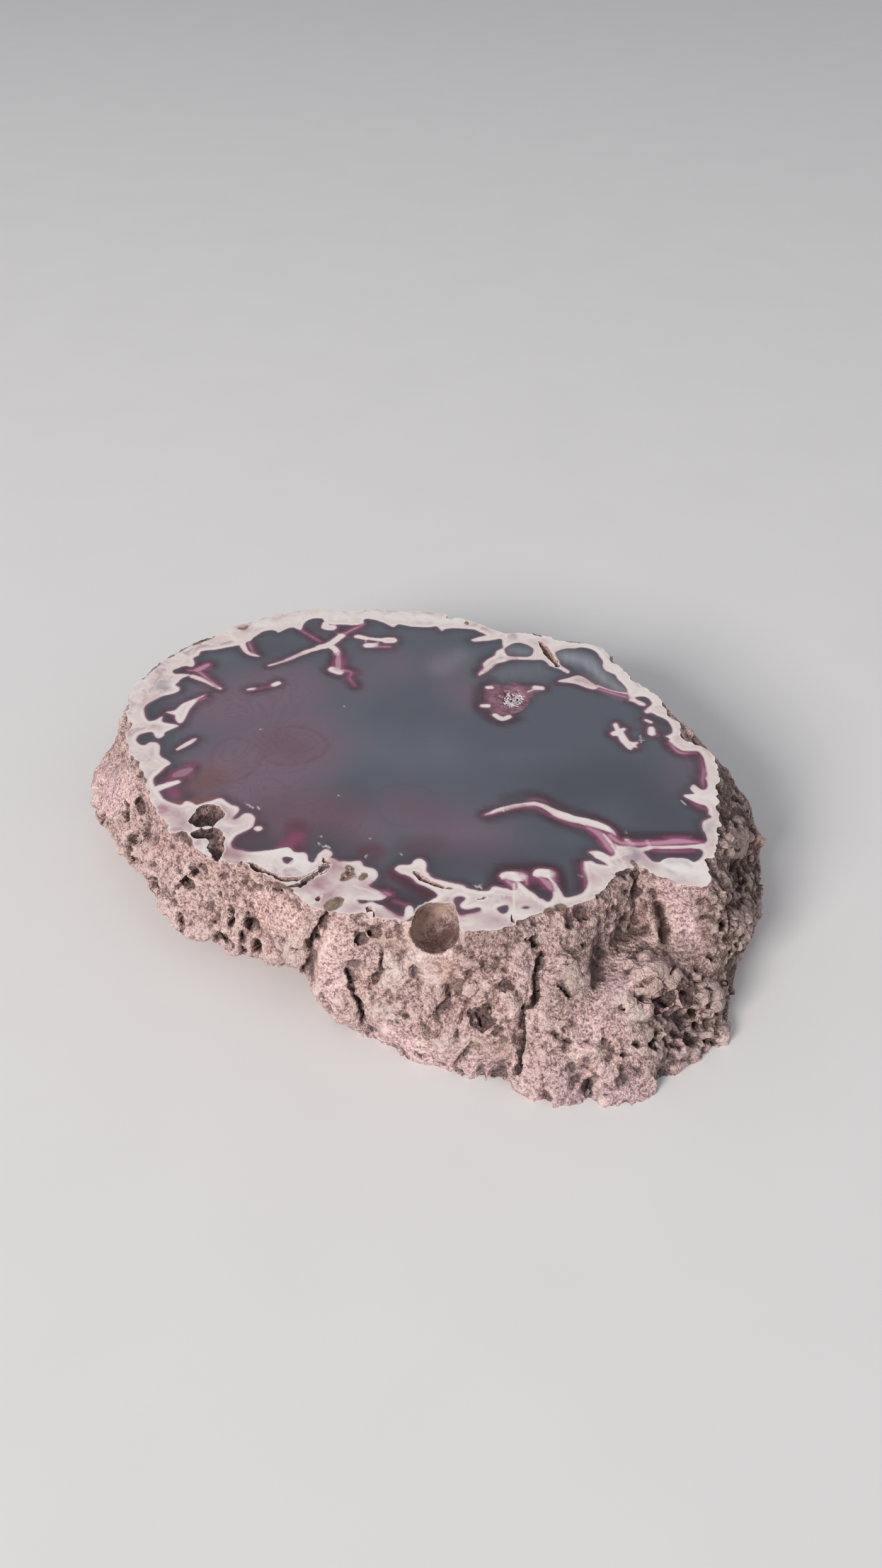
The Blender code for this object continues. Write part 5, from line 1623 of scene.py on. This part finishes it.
def rhyoliteRind():
    finish = Finish("rhyoliteRind")
    mask, step = finish.mask, finish.step
    spot = finish.place()
    broad = finish.clouds(spot, 24, 3.0, 0.3)
    mottle = finish.clouds(spot, 6, 4.0, 0.4)
    grit = finish.clouds(spot, 1.5, 5.0)
    fine = finish.clouds(spot, 0.45, 3.0)
    sand = finish.clouds(spot, 0.8, 4.0, 0.2)
    ragged = finish.bent(spot, grit, 1.1)
    grains = finish.cells(ragged, 1.0)
    grainTint = finish.part("ShaderNodeSeparateColor", finish.cells(ragged, 1.0, output="Color"), "Red")
    pores = finish.cells(finish.bent(spot, sand, 2.4), 2.1)
    height = finish.part("ShaderNodeSeparateXYZ", spot, "Z")
    calm, pit, cavity, umberAndShade = mask("calm"), mask("pit"), mask("cavity"), mask("umberAndShade")
    # Where the umber brown stands in for shade, the painted light specks are held back
    sunlit = 1.0 - umberAndShade * 0.7
    specks = step(fine + grit, 0.82, 0.7) * step(mottle, 0.45, 0.6)
    pocks = step(pores, 0.22, 0.1) * step(mottle, 0.52, 0.62) * (1.0 - calm * 0.8)

    colour = finish.layers(rindTones["dusty"], rindTones, [
        (step(broad, 0.38, 0.62), "pinkBrown"),
        (step(mottle, 0.48, 0.7, 0.0, 0.75), "tan"),
        (step(height + (mottle - 0.5) * 0.02, 0.014, 0.001, 0.0, 0.75), "lilac"),
        (mask("lilac") * 0.85, "lilac"),
        # Olive brown with painted shade on the side away from the light
        (umberAndShade * 0.95, "umberAndShade"),
        (mask("rose") * 0.8, "rose"),
        (step(grainTint, 0.5, 1.0, 0.0, 0.25), "shadow"),
        (step(grainTint, 0.3, 0.0, 0.0, 0.3), "light"),
        (step(grit, 0.53, 0.68, 0.0, 0.7), "shadow"),
        (step(grit, 0.44, 0.32, 0.0, 0.5) * sunlit, "light"),
        (step(sand, 0.52, 0.62, 0.0, 0.68), "shadow"),
        (step(sand, 0.46, 0.38, 0.0, 0.5) * sunlit, "light"),
        (step(fine, 0.54, 0.64, 0.0, 0.55), "shadow"),
        (step(fine, 0.46, 0.36, 0.0, 0.5) * sunlit, "light"),
        (mask("whiten") * step(grit, 0.6, 0.4, 0.3, 1.0), "whiten"),
        (specks * 0.6, "whiten"),
        # Painted shade in the pocks, in hollows and in the carved pits, and painted light on proud places
        (pocks * 0.7, "hollowShade"),
        (step(cavity, 0.1, 0.9, 0.0, 0.72), "hollowShade"),
        (step(cavity, -0.2, -0.9, 0.0, 0.4), "light"),
        (step(pit, 0.5, 2.4, 0.0, 0.7), "hollowShade"),
        (mask("shade") * 0.85, "shade"),
        (mask("khaki") * step(grit, 0.7, 0.45, 0.5, 0.9), "khaki"),
        (mask("garnet"), "garnet"),
    ])

    relief = grit + sand * 0.9 + fine * 0.6 - step(grains, 0.0, 0.6) * 0.2 - pocks * 0.5
    relief = relief * (1.0 - calm * 0.7)
    return finish.surface(colour, step(grit, 0.3, 0.7, 0.72, 0.92), finish.bump(relief, 0.8, 1.0))


def buildFloor():
    bpy.ops.mesh.primitive_plane_add(size=studio["floorSize"], location=(0, 0, 0))
    floor = bpy.context.object
    floor.name = "paleFloor"
    finish = Finish("paleFloor")
    faint = finish.clouds(finish.place(), 40, 2.0)
    colour = finish.mix(faint, tone(226, 224, 222), tone(231, 229, 227))
    floor.data.materials.append(finish.surface(colour, 0.75))


# Crystals in the hollow

crystalBed = {
    "halfSizes": (4.85, 6.75, 4.3),
    "flush": 0.05,                   # mm below the face where the lining is shallow
    "bowl": (814, 1107),             # photo pixels of the deepest place
    "bowlHalfSizes": (3.9, 4.6),
    "bowlDepth": 2.6,
    "thickness": 0.25,               # mm of the lining
    "points": 70,
    "pointZone": 0.9,                # share of the bowl that the points stand in
    "widths": (0.35, 0.95),
    "lengths": (0.7, 1.9),
    "topGap": 0.12,                  # no tip comes nearer to the face
    "blades": 30,
    "hub": (812, 1117),              # photo pixels from which the blades fan out, and a second place
    "crest": (823, 1102),
    "bladeLengths": (1.2, 2.9),
    "bladeDepths": (0.7, 1.5),
    "bladeWidth": 0.24,
    # long thin blades near the face: bearing in degrees, length in mm
    "star": ((38, 3.4), (75, 2.4), (120, 2.0), (158, 2.6), (200, 2.6), (238, 2.4), (268, 3.2),
             (300, 2.8), (335, 2.2)),
    "starDepth": 0.34,
    "seed": 5,
}


quartzTones = {
    "lining": tone(124, 80, 96),
    "liningPale": tone(150, 108, 120),
    "liningBright": tone(190, 158, 168),
    "liningDark": tone(96, 54, 70),
    "deep": tone(150, 110, 124),
    "pale": tone(210, 198, 198),
    "white": tone(238, 236, 234),
    "glint": tone(150, 140, 150),
}


def liningDepth(x, y):
    # Depth in mm of the hollow's lining below the face
    bowl = onFace([crystalBed["bowl"]])[0]
    across = (x - bowl[0]) / crystalBed["bowlHalfSizes"][0]
    along = (y - bowl[1]) / crystalBed["bowlHalfSizes"][1]
    wobble = noise.noise(Vector((x, y, 0)) / 1.1) * 0.35
    share = softStep(np.array(1.0 + wobble - math.hypot(across, along)), 0.0, 0.75)
    return crystalBed["flush"] + crystalBed["bowlDepth"] * float(share)


def turnedInVug(x, y):
    cosine, sine = math.cos(vug["turn"]), math.sin(vug["turn"])
    middleX, middleY = vug["middle"]
    return Vector((middleX + x * cosine - y * sine, middleY + x * sine + y * cosine))


def quartzPoint(base, direction, length, width, flatness=1.0):
    # A six-sided prism pulled to a point
    bpy.ops.mesh.primitive_cylinder_add(vertices=6, radius=width / 2 * mm, depth=length * mm,
                                        location=(0, 0, 0))
    point = bpy.context.object
    selectFaces(point, lambda face: face.normal.z > 0.9)
    rise = (0, 0, width * 0.75 * mm)
    bpy.ops.mesh.extrude_region_move(TRANSFORM_OT_translate={"value": rise})
    bpy.ops.transform.resize(value=(0.12, 0.12, 1.0))
    bpy.ops.object.mode_set(mode="OBJECT")
    stretch = Matrix.Diagonal((1.0, flatness, 1.0, 1.0))
    lift = Matrix.Translation((0, 0, length / 2 * mm))
    turn = direction.to_track_quat("Z", "Y").to_matrix().to_4x4()
    point.data.transform(Matrix.Translation(base * mm) @ turn @ stretch @ lift)
    return point


def joinInto(name, pieces):
    bpy.ops.object.select_all(action="DESELECT")
    for piece in pieces:
        piece.select_set(True)
    bpy.context.view_layer.objects.active = pieces[0]
    bpy.ops.object.join()
    joined = bpy.context.object
    joined.name = name
    return joined


def buildLining():
    # A thin closed shell: the hollow's wall below, the drusy bowl above
    bpy.ops.mesh.primitive_uv_sphere_add(segments=72, ring_count=48, radius=1, location=(0, 0, 0))
    lining = bpy.context.object
    places = vertexPlaces(lining)
    halfX, halfY, halfZ = crystalBed["halfSizes"]
    thickness = crystalBed["thickness"]
    for place in places:
        upper = place[2] > -0.001
        if upper:
            reach = math.sqrt(max(0.0, (1.0 - place[2]) * (2.0 - (1.0 - place[2]))))
            length = max(math.hypot(place[0], place[1]), 1e-6)
            place[:2] *= reach / length
        spot = turnedInVug(place[0] * halfX, place[1] * halfY)
        bed = liningDepth(spot.x, spot.y)
        if upper:
            depth = bed + 0.12 * noise.noise(Vector((spot.x, spot.y, 3)) / 0.5)
        else:
            depth = max(-place[2] * halfZ + thickness, bed + thickness)
        place[:] = (spot.x * mm, spot.y * mm, faceHeight - depth * mm)
    setPlaces(lining, places)
    return lining


def buildCrystals():
    lining = buildLining()
    liningFaces = len(lining.data.polygons)
    draw = random.Random(crystalBed["seed"])
    pieces = [lining] + shortPoints(draw) + thinBlades(draw)
    crystals = joinInto("quartzCrystals", pieces)
    places = vertexPlaces(crystals)
    places[:, 2] = np.minimum(places[:, 2], faceHeight - 0.03 * mm)
    setPlaces(crystals, places)
    crystals.data.materials.append(drusyLining())
    crystals.data.materials.append(clearQuartz())
    for face in crystals.data.polygons:
        face.material_index = 0 if face.index < liningFaces else 1
        face.use_smooth = face.index < liningFaces
    print("crystals:", len(crystals.data.polygons), "faces")
    return crystals


def insideVug(x, y, margin):
    return vugDistance(np.array([[x, y]]))[0] >= margin


def shortPoints(draw):
    # Crystals all over the bowl, set out in a spiral
    face = faceHeight / mm
    bowl = onFace([crystalBed["bowl"]])[0]
    zone = crystalBed["bowlHalfSizes"]
    pieces = []
    for i in range(crystalBed["points"]):
        share = math.sqrt((i + 0.5) / crystalBed["points"])
        angle = math.radians(137.5 * i)
        x = bowl[0] + math.cos(angle) * share * zone[0] * crystalBed["pointZone"]
        y = bowl[1] + math.sin(angle) * share * zone[1] * crystalBed["pointZone"]
        if not insideVug(x, y, 0.5):
            continue
        depth = liningDepth(x, y) + 0.2
        width = draw.uniform(*crystalBed["widths"])
        length = draw.uniform(*crystalBed["lengths"])
        inward = Vector((bowl[0] - x, bowl[1] - y, 0)) * 0.2
        direction = inward + Vector((draw.uniform(-0.9, 0.9), draw.uniform(-0.9, 0.9), 1.1))
        direction.normalize()
        room = depth - crystalBed["topGap"] - width
        length = min(length, room / max(direction.z, 0.3))
        if length > 0.2:
            pieces.append(quartzPoint(Vector((x, y, face - depth)), direction, length, width))
    return pieces


def thinBlades(draw):
    # Thin white blades fan out above the short points, and a star of long ones above those
    face = faceHeight / mm
    hub, crest = onFace([crystalBed["hub"], crystalBed["crest"]])
    pieces = []
    for i in range(crystalBed["blades"]):
        start = hub if i % 2 else crest
        angle = math.radians(360 / crystalBed["blades"] * i * 2 + draw.uniform(-14, 14))
        reach = draw.uniform(*crystalBed["bladeLengths"])
        direction = Vector((math.cos(angle), math.sin(angle), draw.uniform(-0.05, 0.35))).normalized()
        base = Vector((*start, face - draw.uniform(*crystalBed["bladeDepths"])))
        tip = base + direction * reach
        if not insideVug(tip.x, tip.y, 0.4) or tip.z > face - 0.15:
            continue
        width = crystalBed["bladeWidth"] * draw.uniform(0.7, 1.6)
        pieces.append(quartzPoint(base, direction, reach, width, 0.5))
    for bearing, reach in crystalBed["star"]:
        angle = math.radians(bearing)
        base = Vector((*hub, face - crystalBed["starDepth"]))
        direction = Vector((math.cos(angle), math.sin(angle), 0.02)).normalized()
        pieces.append(quartzPoint(base, direction, reach, crystalBed["bladeWidth"] * 1.5, 0.6))
    return pieces


def drusyLining():
    finish = Finish("drusyLining")
    step = finish.step
    spot = finish.place()
    grit = finish.clouds(spot, 0.9, 4.0)
    broad = finish.clouds(spot, 3.5, 2.0)
    colour = finish.layers(quartzTones["lining"], quartzTones, [
        (step(broad, 0.4, 0.6), "liningPale"),
        (step(grit, 0.52, 0.7, 0.0, 0.4), "liningBright"),
        (step(grit, 0.45, 0.3, 0.0, 0.4), "liningDark"),
    ])
    return finish.surface(colour, step(grit, 0.3, 0.7, 0.2, 0.45), finish.bump(grit, 0.35, 0.8), IOR=1.54)


def clearQuartz():
    finish = Finish("clearQuartz")
    step = finish.step
    spot = finish.place()
    bright = finish.clouds(spot, 1.4, 3.0)
    sparkle = finish.part("ShaderNodeSeparateColor", finish.cells(spot, 1.1, output="Color"), "Red")
    height = finish.part("ShaderNodeSeparateXYZ", spot, "Z")
    high = step(height, faceHeight - 3.0 * mm, faceHeight - 1.4 * mm)
    colour = finish.layers(quartzTones["deep"], quartzTones, [
        (high, "pale"),
        (step(bright, 0.45, 0.65) * high, "white"),
        (step(sparkle, 0.7, 1.0, 0.0, 0.5), "glint"),
    ])
    return finish.surface(colour, step(bright, 0.3, 0.7, 0.08, 0.25), IOR=1.54)


def dressStone(stone):
    for material in (rhyoliteRind(), polishedAgate(), sawnAgate()):
        stone.data.materials.append(material)
    level = 0.999                    # least steepness of a flat's normal
    for face in stone.data.polygons:
        onTop = face.normal.z > level and face.center.z > faceHeight - hair
        onFloor = face.normal.z < -level and face.center.z < hair
        face.material_index = 1 if onTop else 2 if onFloor else 0
    selectOnly(stone)
    bpy.ops.object.shade_smooth_by_angle(angle=math.radians(40))


def setCamera():
    turn = (math.radians(90) - photo["lookDown"], 0, 0)
    bpy.ops.object.camera_add(location=photo["place"], rotation=turn)
    camera = bpy.context.object
    camera.name = "photoCamera"
    camera.data.sensor_width = photo["sensor"]
    camera.data.lens = photo["sensor"] * photo["focal"] / photo["height"]
    camera.data.clip_start = 0.01
    bpy.context.scene.camera = camera


studio = {
    "sky": (0.9, 0.93, 1.0),
    "skyStrength": 0.42,
    # name: place, size, power, colour
    "lights": {
        "keyLight": ((-1.54, -1.94, 1.41), 1.0, 73.0, (1.0, 0.965, 0.93)),
        "fillLight": ((1.8, -1.2, 1.6), 1.8, 4.8, (0.92, 0.95, 1.0)),
    },
    "lightTarget": (0, 0, 0.02),
    "floorSize": 6.0,
}


def setStudio():
    world = bpy.data.worlds.new("studio")
    world.use_nodes = True
    sky = world.node_tree.nodes["Background"]
    sky.inputs["Color"].default_value = (*studio["sky"], 1.0)
    sky.inputs["Strength"].default_value = studio["skyStrength"]
    bpy.context.scene.world = world
    for name, (place, size, power, colour) in studio["lights"].items():
        bpy.ops.object.light_add(type="AREA", location=place)
        light = bpy.context.object
        light.name = name
        light.data.size = size
        light.data.energy = power
        light.data.color = colour
        aim = Vector(studio["lightTarget"]) - Vector(place)
        light.rotation_euler = aim.to_track_quat("-Z", "Y").to_euler()
    bpy.context.scene.view_settings.view_transform = "Standard"


setCamera()
setStudio()
buildFloor()

stone = buildStone()
paintMasks(stone)
dressStone(stone)
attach(stone, "root")
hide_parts("thunderegg_slice")
print("stone dressed")

crystals = buildCrystals()
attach(crystals, "root")
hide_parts("quartz_crust")
print("crystals set")
